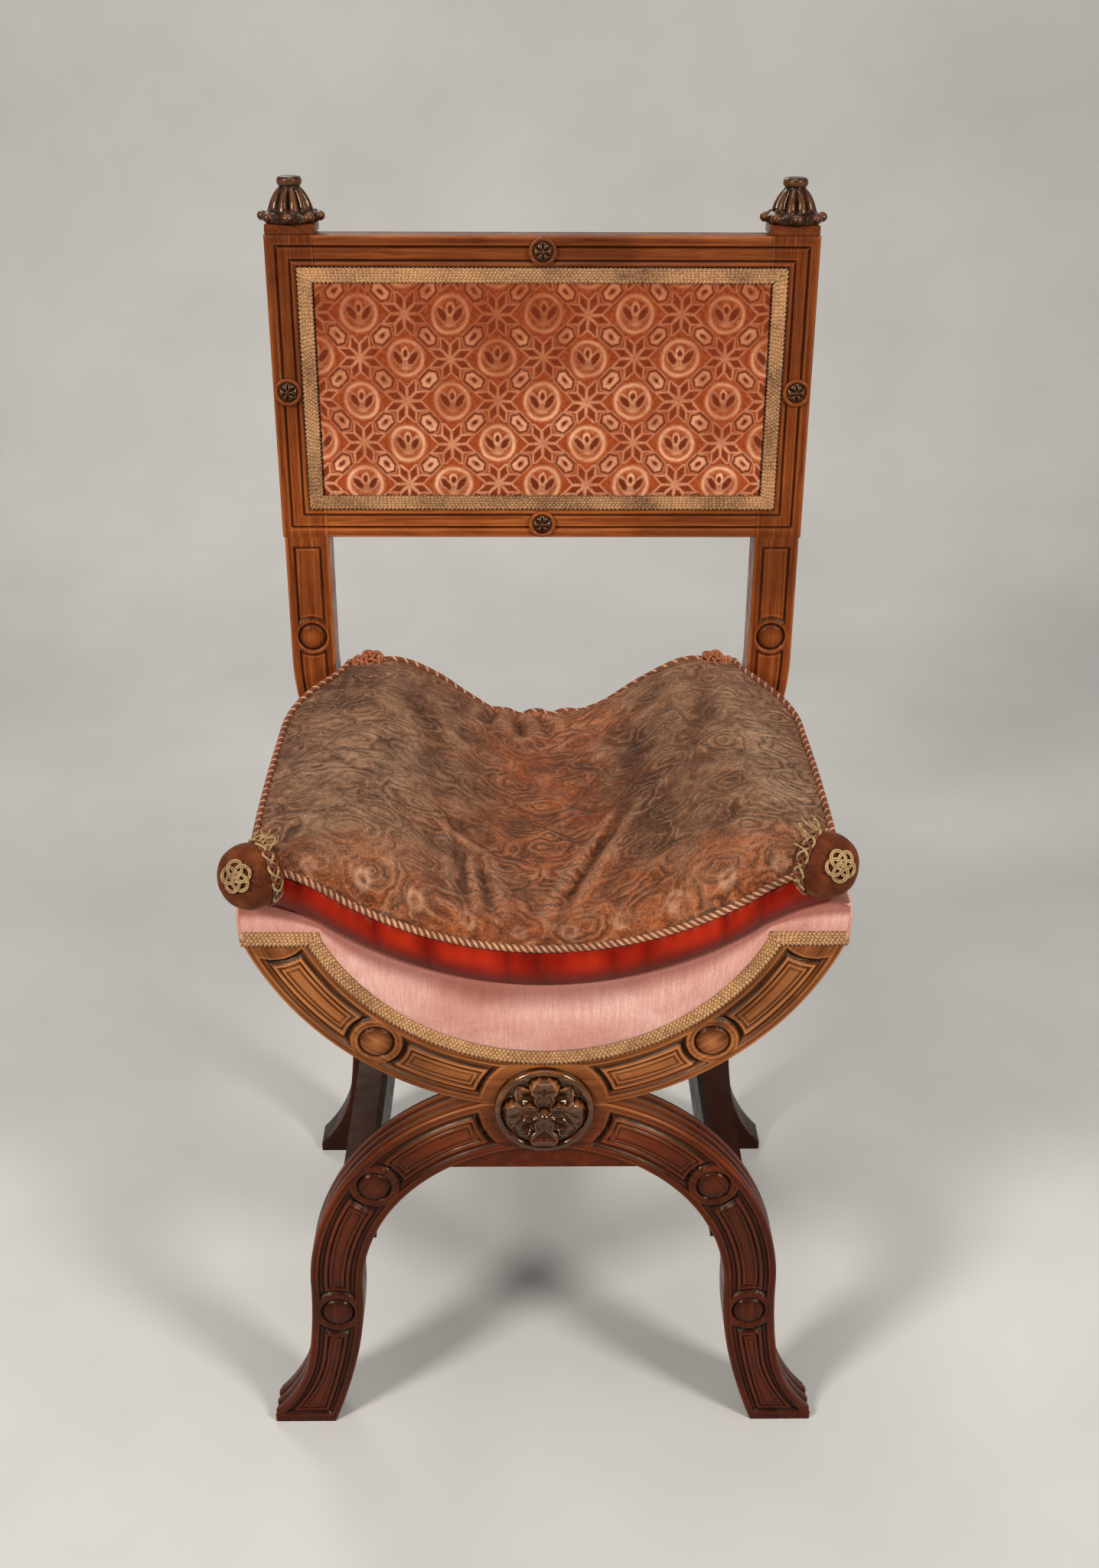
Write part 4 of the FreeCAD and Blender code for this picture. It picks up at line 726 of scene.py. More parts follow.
def leg_lines(n_arch=150, n_shin=60, n_foot=70):
    """Outer and inner edge of a leg, from the crown of the arch down to the toe."""
    down = (0.0, -1.0)
    out_arc = circle(ARCH_Z, ARCH_R, 90, 0, n_arch)
    out_arc[:, 1] = np.minimum(out_arc[:, 1], SEAM)
    shin_out, t_out = tangent_run((ARCH_R, ARCH_Z), down, (ANKLE_OUT, ANKLE_Z), n_shin)
    foot_out, _ = tangent_run((ANKLE_OUT, ANKLE_Z), t_out, (TOE_OUT, TOE_Z), n_foot - TOE_STEPS)
    toe = np.stack([np.full(TOE_STEPS, TOE_OUT), np.linspace(TOE_Z, 0.0, TOE_STEPS + 1)[1:]], 1)
    in_arc = circle(ARCH_IN_Z, ARCH_IN, 90, 0, n_arch)
    shin_in, t_in = tangent_run((ARCH_IN, ARCH_IN_Z), down, (ANKLE_IN, ANKLE_Z), n_shin)
    foot_in, _ = tangent_run((ANKLE_IN, ANKLE_Z), t_in, (TOE_IN, 0.0), n_foot)
    outer = np.vstack([out_arc, shin_out[1:], foot_out[1:], toe])
    return outer, np.vstack([in_arc, shin_in[1:], foot_in[1:]])


def arm_lines(cz, r_out, r_in, tip, n=230):
    outer = circle(cz, r_out, -90, angle_at(cz, r_out, tip), n)
    outer[:, 1] = np.maximum(outer[:, 1], SEAM)
    return outer, circle(cz, r_in, -90, angle_at(cz, r_in, tip), n)


def button_on(cz, r, degrees, sign):
    q = math.radians(degrees)
    return r * math.sin(q), cz + sign * r * math.cos(q)


ROSE_CLEAR, BUTTON_CLEAR = (0.0, ROSE_Z, 55.5), 21.5
ARM_END = (218.2, 548.5, 32.0)
ARM_BUTTON = button_on(ARM_Z, (ARM_R + ARM_SHOWN) / 2, 36.0, -1)
LEG_BUTTONS = [button_on(ARCH_Z, (ARCH_R + ARCH_IN) / 2, 52.5, 1), (186.3, 137.0)]
FOOT_PANEL_Z = 9.0


def arm_relief(x, z, d_out, d_in):
    """Panels on the part of the arm that the seat gimp leaves bare."""
    shown = carved([ROSE_CLEAR, ARM_END, (*ARM_BUTTON, BUTTON_CLEAR)], [ARM_BUTTON])
    return shown(x, z, d_out, d_in - (ARM_SHOWN - ARM_IN))


def frame_lines(x, z):
    """The two sunk lines that run round the back frame, and the sunk seat of the upholstery."""
    d = np.minimum(np.minimum(BACK_HALF - np.abs(x), BACK_TOP - z), z - BACK_LOW)
    one, two = hump((d - 8.6) / 2.6), hump((d - 20.4) / 2.6)
    h = -1.5 * one - 1.5 * two + 0.8 * hump((d - 0.5) / 8.0) ** 0.6 - 0.5 * hump((d - 11.5) / 8.6) ** 0.5
    h = h + 0.6 * hump((d - 23.2) / 3.8) - 4.0 * ease(26.6, 27.4, d)
    # Pale lines beside the sunk lines and on the edges: worn bead edges and painted highlight.
    rubbed = ((7.6, 0.5), (12.2, 0.3), (19.4, 0.2), (24.2, 0.5))
    return h, np.maximum(one, two), sum(share * bell(d, at, 0.8) for at, share in rubbed)


def post_relief(x, z, d_out, d_in):
    """The frame's lines above, a sunk panel with a roundel below."""
    r = np.hypot(x - POST_BUTTON_X, z - POST_BUTTON_Z)
    p = np.minimum(np.minimum(d_out, d_in) - 8.0, np.minimum(POST_PANEL_TOP - z, r - 18.5))
    fillet = hump((p - 2.0) / 2.6)
    hb, cb, wb = button(r, 13.0)
    below = (-2.0 * ease(-0.2, 1.2, p) + 0.9 * fillet + hb, np.maximum(0.9 * hump((p + 1.0) / 3.2), cb),
             np.maximum(0.5 * fillet, wb))
    return [np.where(z > BACK_LOW, a, b) for a, b in zip(frame_lines(x, z), below)]


def post_lines():
    low, high = BACK_LOW + 38.0, BACK_TOP - 38.0
    z = np.concatenate([np.linspace(FOOT_Z + 0.6, REAR_Z, 40), np.linspace(REAR_Z, BACK_LOW - 0.1, 110)[1:],
                        np.linspace(BACK_LOW, low, 46), np.linspace(low, high, 60)[1:],
                        np.linspace(high, BACK_TOP, 46)[1:]])
    bend = np.minimum(z - REAR_Z, 0.0)
    out = np.where(z < BACK_LOW, np.sqrt(REAR_R ** 2 - bend ** 2), BACK_HALF)
    return np.stack([out, z], 1), np.stack([np.sqrt(REAR_IN ** 2 - bend ** 2), z], 1)


def rail(top):
    xs = np.linspace(-RAIL_HALF, RAIL_HALF, 24)
    edges = (np.stack([xs, np.full(24, z)], 1) for z in (top, top - RAIL_TALL))
    return member(*edges, REAR, RAIL_DEEP, lambda x, z, *_: frame_lines(x, z), 60, 1.3, raked=True)


def put_pair(*members):
    """Puts members on the right, and their mirror images on the left."""
    for side, sx in SIDES:
        for name, part, mat, node in members:
            put(name + side, part if sx > 0 else mirror(part), mat, [node + side], sharp=50)


leg_relief = carved([ROSE_CLEAR] + [(x, z, BUTTON_CLEAR) for x, z in LEG_BUTTONS], LEG_BUTTONS,
                    lambda x, z: z - FOOT_PANEL_Z)
arm = member(*arm_lines(ARM_Z, ARM_R, ARM_IN, ARM_TIP), 0.0, FRAME_DEEP, arm_relief, reeds=1.0)
leg = member(*leg_lines(), 0.0, FRAME_DEEP, leg_relief, reeds=2.0)
rear_arm = member(*arm_lines(REAR_Z, REAR_R, REAR_IN, FOOT_Z - 0.6, 90), REAR, FRAME_DEEP, None, 14)
rear_leg = member(*leg_lines(60, 24, 34), REAR, FRAME_DEEP, None, 14)
post = member(*post_lines(), REAR, POST_DEEP, post_relief, 52, 1.3, raked=True)
put_pair(("carved_arm_", arm, WALNUT, "front_arm_"), ("carved_leg_", leg, WALNUT, "front_leg_"))
put_pair(("plain_arm_", rear_arm, REAR_ARM, "rear_arm_"), ("plain_leg_", rear_leg, SHADED_REAR_WALNUT, "rear_leg_"))
put_pair(("moulded_post_", post, BACK_WALNUT, "back_post_"))
for name, top in (("top", BACK_TOP), ("bottom", BACK_LOW + RAIL_TALL)):
    put("moulded_rail_" + name, rail(top), RAIL_WALNUT, ["back_%s_rail" % name], sharp=50)


# Rosette, pateras and finials

def polar(height, radius, nr, na):
    """Round relief that faces the front: height(r, angle) in millimetres."""
    r = np.linspace(0, radius, nr)[:, None]
    a = once_round(na)[None, :]
    h = height(r, a)
    mean = h.copy()
    for k in (1, 2, 3):
        mean = mean + np.roll(h, k, 1) + np.roll(h, -k, 1)
        mean = mean + np.vstack([h[k:], h[-1:].repeat(k, 0)]) + np.vstack([h[:1].repeat(k, 0), h[:-k]])
    # Paler where the carving stands above its surroundings: rubbed wear and painted highlight; darker where
    # it lies below: patina.
    raised = h - mean / 13.0
    x, z = r * np.cos(a), r * np.sin(a)
    verts = np.vstack([points(x, -h, z), points(x[-1], 0.0, z[-1])])
    last = nr * na
    faces = grid(nr + 1, na, wrap_v=True) + [list(range(last, last + na))]
    plain = np.zeros(na)
    return verts, faces, {"cav": np.append(clip01(-raised / 0.55), plain), "depth": verts[:, 1],
                          "wear": np.append(clip01(raised / 0.6), plain), "along": verts[:, 0],
                          "across": verts[:, 2]}


# Leaves of the rosette: length, then half width and height at places along it
LEAF_S = (0.0, 0.15, 0.35, 0.5, 0.62, 0.78, 0.9, 1.0)
BIG_LEAF = (35.0, (4.0, 6.5, 10.0, 8.8, 13.0, 13.6, 11.0, 5.0), (8.5, 9.8, 11.2, 12.4, 13.8, 15.0, 13.4, 4.0))
SMALL_LEAF = (33.5, (2.5, 4.0, 6.5, 6.0, 9.0, 8.6, 6.0, 2.0), (5.0, 6.4, 7.4, 7.8, 8.6, 9.6, 8.0, 3.0))
ROSE_FIELD, ROSE_R, RING_R, RING_HALF, BEAD_R = 2.2, 42.5, 38.9, 3.3, 5.4


def rounded(s, places, values):
    """Values at their places along 0 to 1, joined by eased steps."""
    places, values = np.array(places), np.array(values)
    k = np.clip(np.searchsorted(places, s, side="right") - 1, 0, len(places) - 2)
    f = (s - places[k]) / (places[k + 1] - places[k])
    return values[k] + (values[k + 1] - values[k]) * f * f * (3 - 2 * f)


def softened(h, passes):
    """A polar height field with its edges rubbed round."""
    for _ in range(passes):
        h = (np.roll(h, 1, 1) + 2 * h + np.roll(h, -1, 1)) / 4
        h = (np.vstack([h[:1], h[:-1]]) + 2 * h + np.vstack([h[1:], h[-1:]])) / 4
    return h


def rose_height(r, a):
    """Sunk field in a rounded ring, eight lobed leaves with curled tips, and a bead in the middle."""
    off = (r - RING_R) / RING_HALF
    h = np.where(np.abs(off) < 1, np.maximum(ROSE_FIELD, 3.0 + 3.4 * dome(off)), ROSE_FIELD) + 0 * a
    h = np.where(off > 1, 1.0, h)
    for k in (1, 3, 5, 7, 0, 2, 4, 6):
        reach, widths, rises = SMALL_LEAF if k % 2 else BIG_LEAF
        f = (a - k * np.pi / 4 + np.pi) % (2 * np.pi) - np.pi
        u, v = r * np.cos(f), r * np.sin(f)
        s = clip01(u / reach)
        c = np.abs(v) / rounded(s, LEAF_S, widths)
        body = np.sqrt(clip01(1 - c ** 4))
        vein = 1.3 * bell(v, 0.0, 1.4) * (1 - ease(0.75, 0.95, s))
        veins = 0.7 * np.abs(np.sin(np.pi * (s * 4.5 - c * 0.9))) ** 4 * ease(0.15, 0.4, c)
        dish = 5.2 * (1 - c ** 2) * hump(s / 1.02)
        rise = np.interp(s, LEAF_S, rises) - ROSE_FIELD - dish - vein - veins + 2.1 * bell(c, 0.8, 0.14)
        h = np.where((u > 0) & (s < 0.999) & (c < 1), np.maximum(h, ROSE_FIELD + rise * body), h)
    h = softened(h, 2)
    h = np.where((r > BEAD_R) & (r < 7.0), 6.5, h)
    return np.where(r < BEAD_R, 11.5 + 6.0 * dome(r / BEAD_R), h)


def patera_height(r, a):
    h = np.where(r > 9.2, 2.2 + 1.6 * dome((r - 11.0) / 1.8), 1.0) + 0 * a
    return np.where(r > 12.6, 0.8, h)


def petal_height(r, a):
    h = 1.2 + 2.6 * np.abs(np.cos(3 * a)) ** 0.6 * np.sin(np.pi * clip01(r / 8.6)) ** 0.7
    return np.where(r < 2.3, 2.4 + 2.2 * dome(r / 2.3), np.where(r > 8.5, 1.0, h))


v, f, a = polar(rose_height, ROSE_R, 120, 288)
put("carved_rosette", (v + [0, 0, ROSE_Z], f, a), ROSE_WALNUT, ["front_rosette"], sharp=60)
PATERAS = ((0, 998.5), (0, 749.5), (-234, 874), (234, 874))
for name, mat, slot, height, radius, y in (
        ("patera_rings", BACK_WALNUT, "walnut", patera_height, 12.7, REAR),
        ("patera_flowers", DARK_WALNUT, "dark_walnut", petal_height, 8.8, REAR - 0.9)):
    v, f, a = polar(height, radius, 34, 72)
    put(name, merge([(rake(v + [x, y, z]), f, a) for x, z in PATERAS]), mat, ["back_" + name], sharp=60)


def soft_box(x0, x1, y0, y1, z0, z1, r):
    """Box with rounded edges as one closed ring mesh, long along y."""
    corners = ((x1 - r, z1 - r, 0), (x0 + r, z1 - r, 90), (x0 + r, z0 + r, 180), (x1 - r, z0 + r, 270))
    centre = np.array([(cx, cz) for cx, cz, _ in corners for _ in range(4)])
    w = np.radians([q + 30 * k for _, _, q in corners for k in range(4)])
    stations = ((y0, r), (y0 + r * 0.3, r * 0.3), (y0 + r, 0), (y1 - r, 0), (y1 - r * 0.3, r * 0.3), (y1, r))
    x, z = centre.T
    verts = np.vstack([points(x + (r - inset) * np.cos(w), y, z + (r - inset) * np.sin(w))
                       for y, inset in stations])
    faces = grid(len(stations), 16, wrap_v=True) + [list(range(16)), list(range(80, 96))[::-1]]
    # Paler corners and edges: rubbed wear and painted highlight.
    edge = np.linalg.norm((verts - verts.mean(0)) / (np.ptp(verts, axis=0) / 2), axis=1)
    return verts, faces, {"along": verts[:, 1], "across": verts[:, 0] + verts[:, 2], "depth": verts[:, 2],
                          "wear": clip01((edge - 1.35) * 0.8), "cav": 0.0}


# Turned profile of a finial: height, radius, depth of the scallops, depth of the flutes
FINIAL = np.array([
    (9.0, 20.0, 0.0, 0.0), (9.6, 24.6, 0.1, 0.0), (11.5, 27.0, 0.15, 0.0), (14.0, 27.4, 0.15, 0.0),
    (16.0, 25.0, 0.1, 0.0), (18.0, 21.6, 0.03, 0.0), (19.4, 20.4, 0.0, 0.1), (22.0, 19.6, 0.0, 0.24),
    (27.0, 17.8, 0.0, 0.28), (32.0, 15.2, 0.0, 0.26), (36.0, 12.2, 0.0, 0.14), (38.4, 9.8, 0.0, 0.0),
    (39.6, 9.2, 0.0, 0.0), (40.4, 10.4, 0.0, 0.0), (42.5, 11.2, 0.0, 0.0), (45.5, 11.0, 0.0, 0.0),
    (47.4, 9.4, 0.0, 0.0), (48.0, 6.0, 0.0, 0.0), (48.1, 0.3, 0.0, 0.0)])
FINIAL_X, FINIAL_Y, PLINTH_HALF, PLINTH_TALL = 224.25, REAR + POST_DEEP / 2, 22.2, 9.0
BALLS, BALL_RING, BALL_RISE = 8, 25.6, 14.4


def finial(cx):
    """Square plinth, scalloped skirt with ball tips, fluted bell and flat knob."""
    def turned(verts, faces, cav, wear):
        return verts, faces, {"cav": clip01(cav).ravel(), "wear": clip01(wear).ravel(), "along": verts[:, 2],
                              "across": verts[:, 0], "depth": verts[:, 1]}

    rows, around, ball_rows, ball_around = 96, 200, 18, 26
    run = run_of(FINIAL[:, :2])
    z, r, scallop, flute = sample(FINIAL, run, np.linspace(0, run[-1], rows)).T[..., None]
    a = once_round(around)[None, :]
    lobe = np.abs(np.cos(5 * a)) ** 0.6
    wave = np.abs(np.cos(4 * a))
    r = r * (1 - scallop * (1 - wave) - flute * (1 - lobe))
    cav = 3.4 * flute * clip01(1.05 - 1.5 * lobe) + 0.9 * bell(z, 39.4, 0.8)
    cav = cav + 0.75 * bell(z, 18.6, 1.2) + 2.5 * scallop * (1 - wave)
    # Pale on the flute ridges and round the knob: painted highlight with rubbed wear; the dark in the flutes,
    # neck, waist and scallops is patina.
    wear = 3.2 * flute * clip01(lobe * 3 - 2) + 0.9 * bell(z, 43.5, 2.2)
    parts = [turned(points(cx + r * np.cos(a), FINIAL_Y + r * np.sin(a), BACK_TOP + z),
                    grid(rows, around, wrap_v=True) + [list(range(around))], cav, wear)]
    t = np.linspace(0, np.pi, ball_rows)[:, None]
    p = once_round(ball_around)[None, :]
    bx = BALL_RING + 4.7 * np.sin(t) * np.cos(p)
    by = 5.2 * np.sin(t) * np.sin(p)
    bz = BACK_TOP + BALL_RISE + 4.4 * np.cos(t)
    for k in range(BALLS):
        c, s = math.cos(2 * np.pi * k / BALLS), math.sin(2 * np.pi * k / BALLS)
        ball = points(cx + bx * c - by * s, FINIAL_Y + bx * s + by * c, bz)
        # Balls paler on top and darker underneath: painted highlight and painted shade.
        parts.append(turned(ball, grid(ball_rows, ball_around, wrap_v=True), -np.cos(t) * 0.8 + 0 * p,
                            np.cos(t) + 0.5 + 0 * p))
    parts.append(soft_box(cx - PLINTH_HALF, cx + PLINTH_HALF, REAR, REAR + POST_DEEP, BACK_TOP,
                          BACK_TOP + PLINTH_TALL, 1.4))
    v, f, attrs = merge(parts)
    index = np.zeros(len(f), int)
    index[-len(parts[-1][1]):] = 1
    return (rake(v), f, attrs), index


for side, sx in SIDES:
    shape, index = finial(sx * FINIAL_X)
    put("carved_finial_" + side, shape, DARK_WALNUT, ["finial_" + side], sharp=60,
        extra=[BACK_WALNUT], index=index)


# Solids that stay as they are
MATERIAL_OF = (("stretcher", PLAIN_WALNUT), ("bridge", BRIDGE_WALNUT), ("sling", WEBBING),
               ("webbing", WEBBING), ("lining", LINING), ("cover", LINING))
for name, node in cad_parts.items():
    node.data.materials.clear()
    node.data.materials.append(next((mat for word, mat in MATERIAL_OF if word in name), BEECH))


# Seat

def seat_z(x):
    x = np.minimum(np.abs(x), SEAT_HALF)
    low = SEAT_SIDE - SEAT_DIP + DIP_R - np.sqrt(np.maximum(DIP_R ** 2 - x ** 2, 1.0))
    high = SEAT_SIDE - BROW_R + np.sqrt(np.maximum(BROW_R ** 2 - (SEAT_HALF - x) ** 2, 1.0))
    return np.where(x < TURN_X, low, high)


def seat_cover():
    """Velvet from the gimp up the facing, over the rolled front edge and back over the slung seat."""
    x = np.linspace(-VELVET_HALF, VELVET_HALF, 242)[:, None]
    arc = ARM_Z - np.sqrt(np.maximum(FACING_R ** 2 - np.minimum(np.abs(x), 190) ** 2, 1))
    low = np.minimum(np.where(np.abs(x) < 178.0, arc, FACING_TOP), FACING_TOP)
    top = seat_z(x)
    v = np.linspace(0, 1, 34)[None, :]
    z = low + (top - EDGE_ROLL - low) * v
    tall = (top - low) / 75.0
    pull = 0.9 * wobble(x / 16.0, z / 30.0, 5) * np.sin(np.pi * v) * tall
    y = -2.5 - 4.0 * np.sin(np.pi * clip01(v * 0.75)) ** 0.7 * tall - pull
    q = np.linspace(0, np.pi / 2, 9)[None, 1:]
    by = np.linspace(ROLL_Y, SEAT_REAR_Y, 60)[None, :]
    bz = top + 0.2 * wobble(x / 20.0, by / 20.0, 8) * ease(SEAT_REAR_Y, SEAT_REAR_Y - 21.0, by)
    yy = np.concatenate([y, y[:, -1:] + 6.0 * (1 - np.cos(q)), by + 0 * x], 1)
    zz = np.concatenate([z, top - EDGE_ROLL + EDGE_ROLL * np.sin(q), bz], 1)
    # Painted shadow of the cushion: the facing darkens towards its top, the front roll is fully dark, and it
    # fades out on the seat behind the roll.
    shade = np.concatenate([ease(0.6, 1.0, v + 0.08 * wobble(x / 40.0, v, 12)), np.ones((242, 8)),
                            0.1 + 0.9 * ease(2 * ROLL_Y, ROLL_Y, by) + 0 * bz], 1)
    return points(x, yy, zz), grid(*yy.shape), {"cav": shade.ravel()}


def seat_skirt():
    """Side of the seat, turned in at its front and rear corners."""
    y = np.concatenate([np.linspace(-2.6, 1.4, 9), np.linspace(5.0, 386.0, 83),
                        np.linspace(386.6, 391.9, 9)])[:, None]
    q = np.linspace(0, np.pi / 2, 8)[None, :]
    z = np.linspace(SKIRT_TOP, SKIRT_LOW, 14)[None, :]
    bulge = 1.2 * np.sin(np.pi * (SKIRT_TOP - z) / 29.0)
    xx = np.concatenate([SKIRT_X + 3.0 * np.sin(q), SKIRT_X + 3.0 + bulge], 1)
    xx = xx + 0.4 * wobble(y / 18.0, np.zeros((1, 22)), 9)
    xx = xx - 6.0 * (1 - np.sqrt(1 - clip01((y - 385.9) / 6.01) ** 2))
    xx = xx - 4.0 * (1 - np.sqrt(1 - clip01((1.4 - y) / 4.01) ** 2))
    return points(xx, y, np.concatenate([SKIRT_TOP + 1.0 + 4.0 * np.cos(q), z], 1)), grid(*xx.shape), {}


def seat_tail():
    """The same velvet between the rear arms: over the rear edge and down the rear seat rail."""
    x = np.linspace(-197.0, 197.0, 170)[:, None]
    top = seat_z(x)
    low = np.minimum(REAR_Z - np.sqrt(203.0 ** 2 - x ** 2), top - 6.0)
    q = np.linspace(0, np.pi / 2, 9)[None, :]
    v = np.linspace(0, 1, 24)[None, 1:]
    drop = top - EDGE_ROLL - low
    flat_y = np.linspace(SEAT_REAR_Y, 422.0, 10)[None, :]
    sway = 2.2 * drop / 80.0 + 0.5 * wobble(x / 18.0, v * 3.0, 15)
    hang_y = 428.6 + sway * np.sin(np.pi * v)
    yy = np.concatenate([flat_y + 0 * x, 423.6 + 5.0 * np.sin(q) + 0 * x, hang_y], 1)
    zz = np.concatenate([top + 0 * flat_y, top - EDGE_ROLL + EDGE_ROLL * np.cos(q), low + drop * (1 - v)], 1)
    return points(x, yy, zz), grid(*yy.shape), {}


skirt = seat_skirt()
cover = merge([seat_cover(), skirt, mirror(skirt), seat_tail()])
seat_ob = put("seat_velvet", cover, PINK, ["seat_pad"])
solid = seat_ob.modifiers.new("thick", "SOLIDIFY")
solid.thickness = 0.0016
solid.offset = -1.0


def braid(low, high, y, thick, raked=False):
    """Woven gimp between two edge lines: five rows of small stitches between looped edges."""
    stitch, loop, rows, na, edge = 3.5, 3.9, 5, 36, 0.07
    low, high = np.asarray(low, float), np.asarray(high, float)
    along = run_of((low + high) / 2)
    n = int(along[-1] / 0.55) + 2
    run = np.linspace(0, along[-1], n)
    t = np.linspace(0, 1, na)[None, :]
    loops = np.abs(np.sin(np.pi * run / loop))[:, None]
    out = clip01((np.abs(t - 0.5) - 0.5 + edge) / edge)
    tt = (t - np.sign(t - 0.5) * out * edge * 0.8 * (1 - loops))[..., None]
    spot = sample(low, along, run)[:, None] * (1 - tt) + sample(high, along, run)[:, None] * tt
    row = clip01((t - edge) / (1 - 2 * edge)) * (rows - 1e-6)
    k = np.floor(row)
    local = row - k - 0.5
    turn = run[:, None] / stitch + np.where(k % 2 == 0, 0.3, -0.3) * local + 0.5 * (k % 2)
    turn = turn + 0.16 * wobble(run / 9.0, run * 0, 3)[:, None]
    knit = np.abs(np.sin(np.pi * turn)) ** 0.55 * np.sqrt(clip01(1 - (1.75 * local) ** 2))
    h = np.where(out > 0, 0.8 * loops ** 0.5, knit)
    verts = [points(spot[..., 0], y - 0.3 - thick * clip01(h), spot[..., 1])]
    verts += [points(spot[:, e, 0], y, spot[:, e, 1]) for e in (0, -1)]
    faces = grid(n, na)
    for e, rim in ((0, n * na), (na - 1, n * na + n)):
        faces += [[i * na + e, (i + 1) * na + e, rim + i + 1, rim + i] for i in range(n - 1)]
    # Painted shade between the stitches, at the looped edges and under the edges.
    cav = np.append(clip01(1.0 - 1.3 * h + 0.55 * (out > 0)), np.ones(2 * n))
    verts = np.vstack(verts)
    return rake(verts) if raked else verts, faces, {"cav": cav}


def seat_braid():
    """Gimp along the U and out over the arm tips."""
    low_z, high_z = SEAT_GIMP_LOW, SEAT_GIMP_LOW + SEAT_GIMP_WIDE
    low_r, high_r = ARM_SHOWN, ARM_SHOWN - SEAT_GIMP_WIDE
    low, high = (circle(ARM_Z, r, -180 - angle_at(ARM_Z, r, z), angle_at(ARM_Z, r, z), 240)
                 for r, z in ((low_r, low_z), (high_r, high_z)))
    parts = [braid(low, high, -0.2, 1.9)]
    for _, sx in SIDES:
        a = np.array([[low[-1, 0], low_z], [GIMP_END, low_z]]) * [sx, 1]
        b = np.array([[high[-1, 0], high_z], [GIMP_END, high_z]]) * [sx, 1]
        parts.append(braid(a, b, -0.5, 1.9))
    return merge(parts)


put("seat_braid", seat_braid(), SEAT_GIMP, ["seat_gimp"])


# Back upholstery

def back_cover():
    """Crowned velvet pad with a flat rear."""
    nx, nz = 150, 84
    x = np.linspace(-PAD_HALF, PAD_HALF, nx)[:, None]
    z = np.linspace(PAD_LOW, PAD_TOP, nz)[None, :]
    u = np.abs(x) / PAD_HALF
    w = np.abs(2 * z - PAD_LOW - PAD_TOP) / (PAD_TOP - PAD_LOW)
    puff = (1 - u ** 6) ** 0.5 * (1 - w ** 5) ** 0.5
    y = REAR + 2.2 - PAD_CROWN * puff - 0.35 * wobble(x / 26.0, z / 26.0, 3) * puff
    loop = rim_loop(nx, nz)
    base = nx * nz
    rim = [[a, b, base + b, base + a] for a, b in zip(loop, loop[1:] + loop[:1])]
    rear = [[base + i for i in face[::-1]] for face in grid(nx, nz)]
    verts = np.vstack([points(x, y, z), points(x, REAR + 2.6, z)])
    return rake(verts), grid(nx, nz) + rim + rear, {}


def back_braid():
    """Four mitred lengths of gimp round the pad."""
    turns = ((-1, 0), (1, 0), (1, 1), (-1, 1), (-1, 0))
    outer, inner = ([(sx * (GIMP_HALF - w), GIMP_TOP - w if high else GIMP_LOW + w) for sx, high in turns]
                    for w in (0.0, GIMP_WIDE))
    steps = np.linspace(0, 1, 40)[:, None]
    parts = []
    for k in range(4):
        edges = (np.array(line[k]) * (1 - steps) + np.array(line[k + 1]) * steps for line in (outer, inner))
        parts.append(braid(*edges, REAR + 0.7, 1.7, raked=True))
    return merge(parts)


put("back_velvet", back_cover(), VELVET, ["back_pad"])
put("back_braid", back_braid(), GIMP, ["back_gimp"])


# Loose cushion

def plan(u, v):
    """Cushion outline: u and v run from -1 to 1 over a rounded, back-tapered square."""
    half = CUSHION_HALF - FRONT_TAPER * ease(0.0, -1.0, v) - REAR_TAPER * ease(0.25, 1.0, v) ** 1.5
    mid, span = (FRONT_Y + BACK_Y) / 2, (BACK_Y - FRONT_Y) / 2
    return u * half * (1 - 0.018 * np.abs(v) ** 6), mid + v * span * (1 - 0.03 * np.abs(u) ** 6)


def edge_top(x, v):
    """Height of the corded top edge."""
    front = seat_z(x) + FRONT_RISE
    gathers = 5.0 * np.abs(np.sin(x / 10.0 + 0.6)) ** 3 * bell(x, -12.0, 44.0)
    back = BACK_EDGE_Z + BACK_RISE * ease(30.0, 150.0, np.abs(x)) - gathers
    back = back + 1.5 * wobble(x / 24.0, 0 * x, 44)
    side = SIDE_Z + 9.0 * ease(0.2, 0.9, v)
    w = ease(-1.0, 1.0, v)
    along = front * (1 - w) + back * w
    return along + (side - along) * ease(0.82, 1.0, np.abs(x) / CUSHION_HALF) * (1 - np.abs(v) ** 8)


# Folds pulled into the cloth, and broad dents, as lines in plan
CREASES = (((70, 150), (42, 98), (20, 50), (11, 20)), ((-70, 92), (-66, 60), (-63, 26)),
           ((-56, 88), (-50, 56), (-43, 20)), ((-24, 380), (-21, 322)), ((-4, 380), (8, 330)),
           ((-44, 380), (-56, 330)))
DENTS = (((150, 352), (153, 285), (138, 212)), ((58, 340), (84, 245), (80, 165)),
         ((-120, 330), (-96, 236), (-98, 150)))
# Each kind with its half width, depth, height of the ridges, painted shade and how fast that fades
PULLS = ((CREASES, 5.0, 5.6, 2.2, 0.9, 3), (DENTS, 13.0, 4.0, 1.4, 0.42, 2))


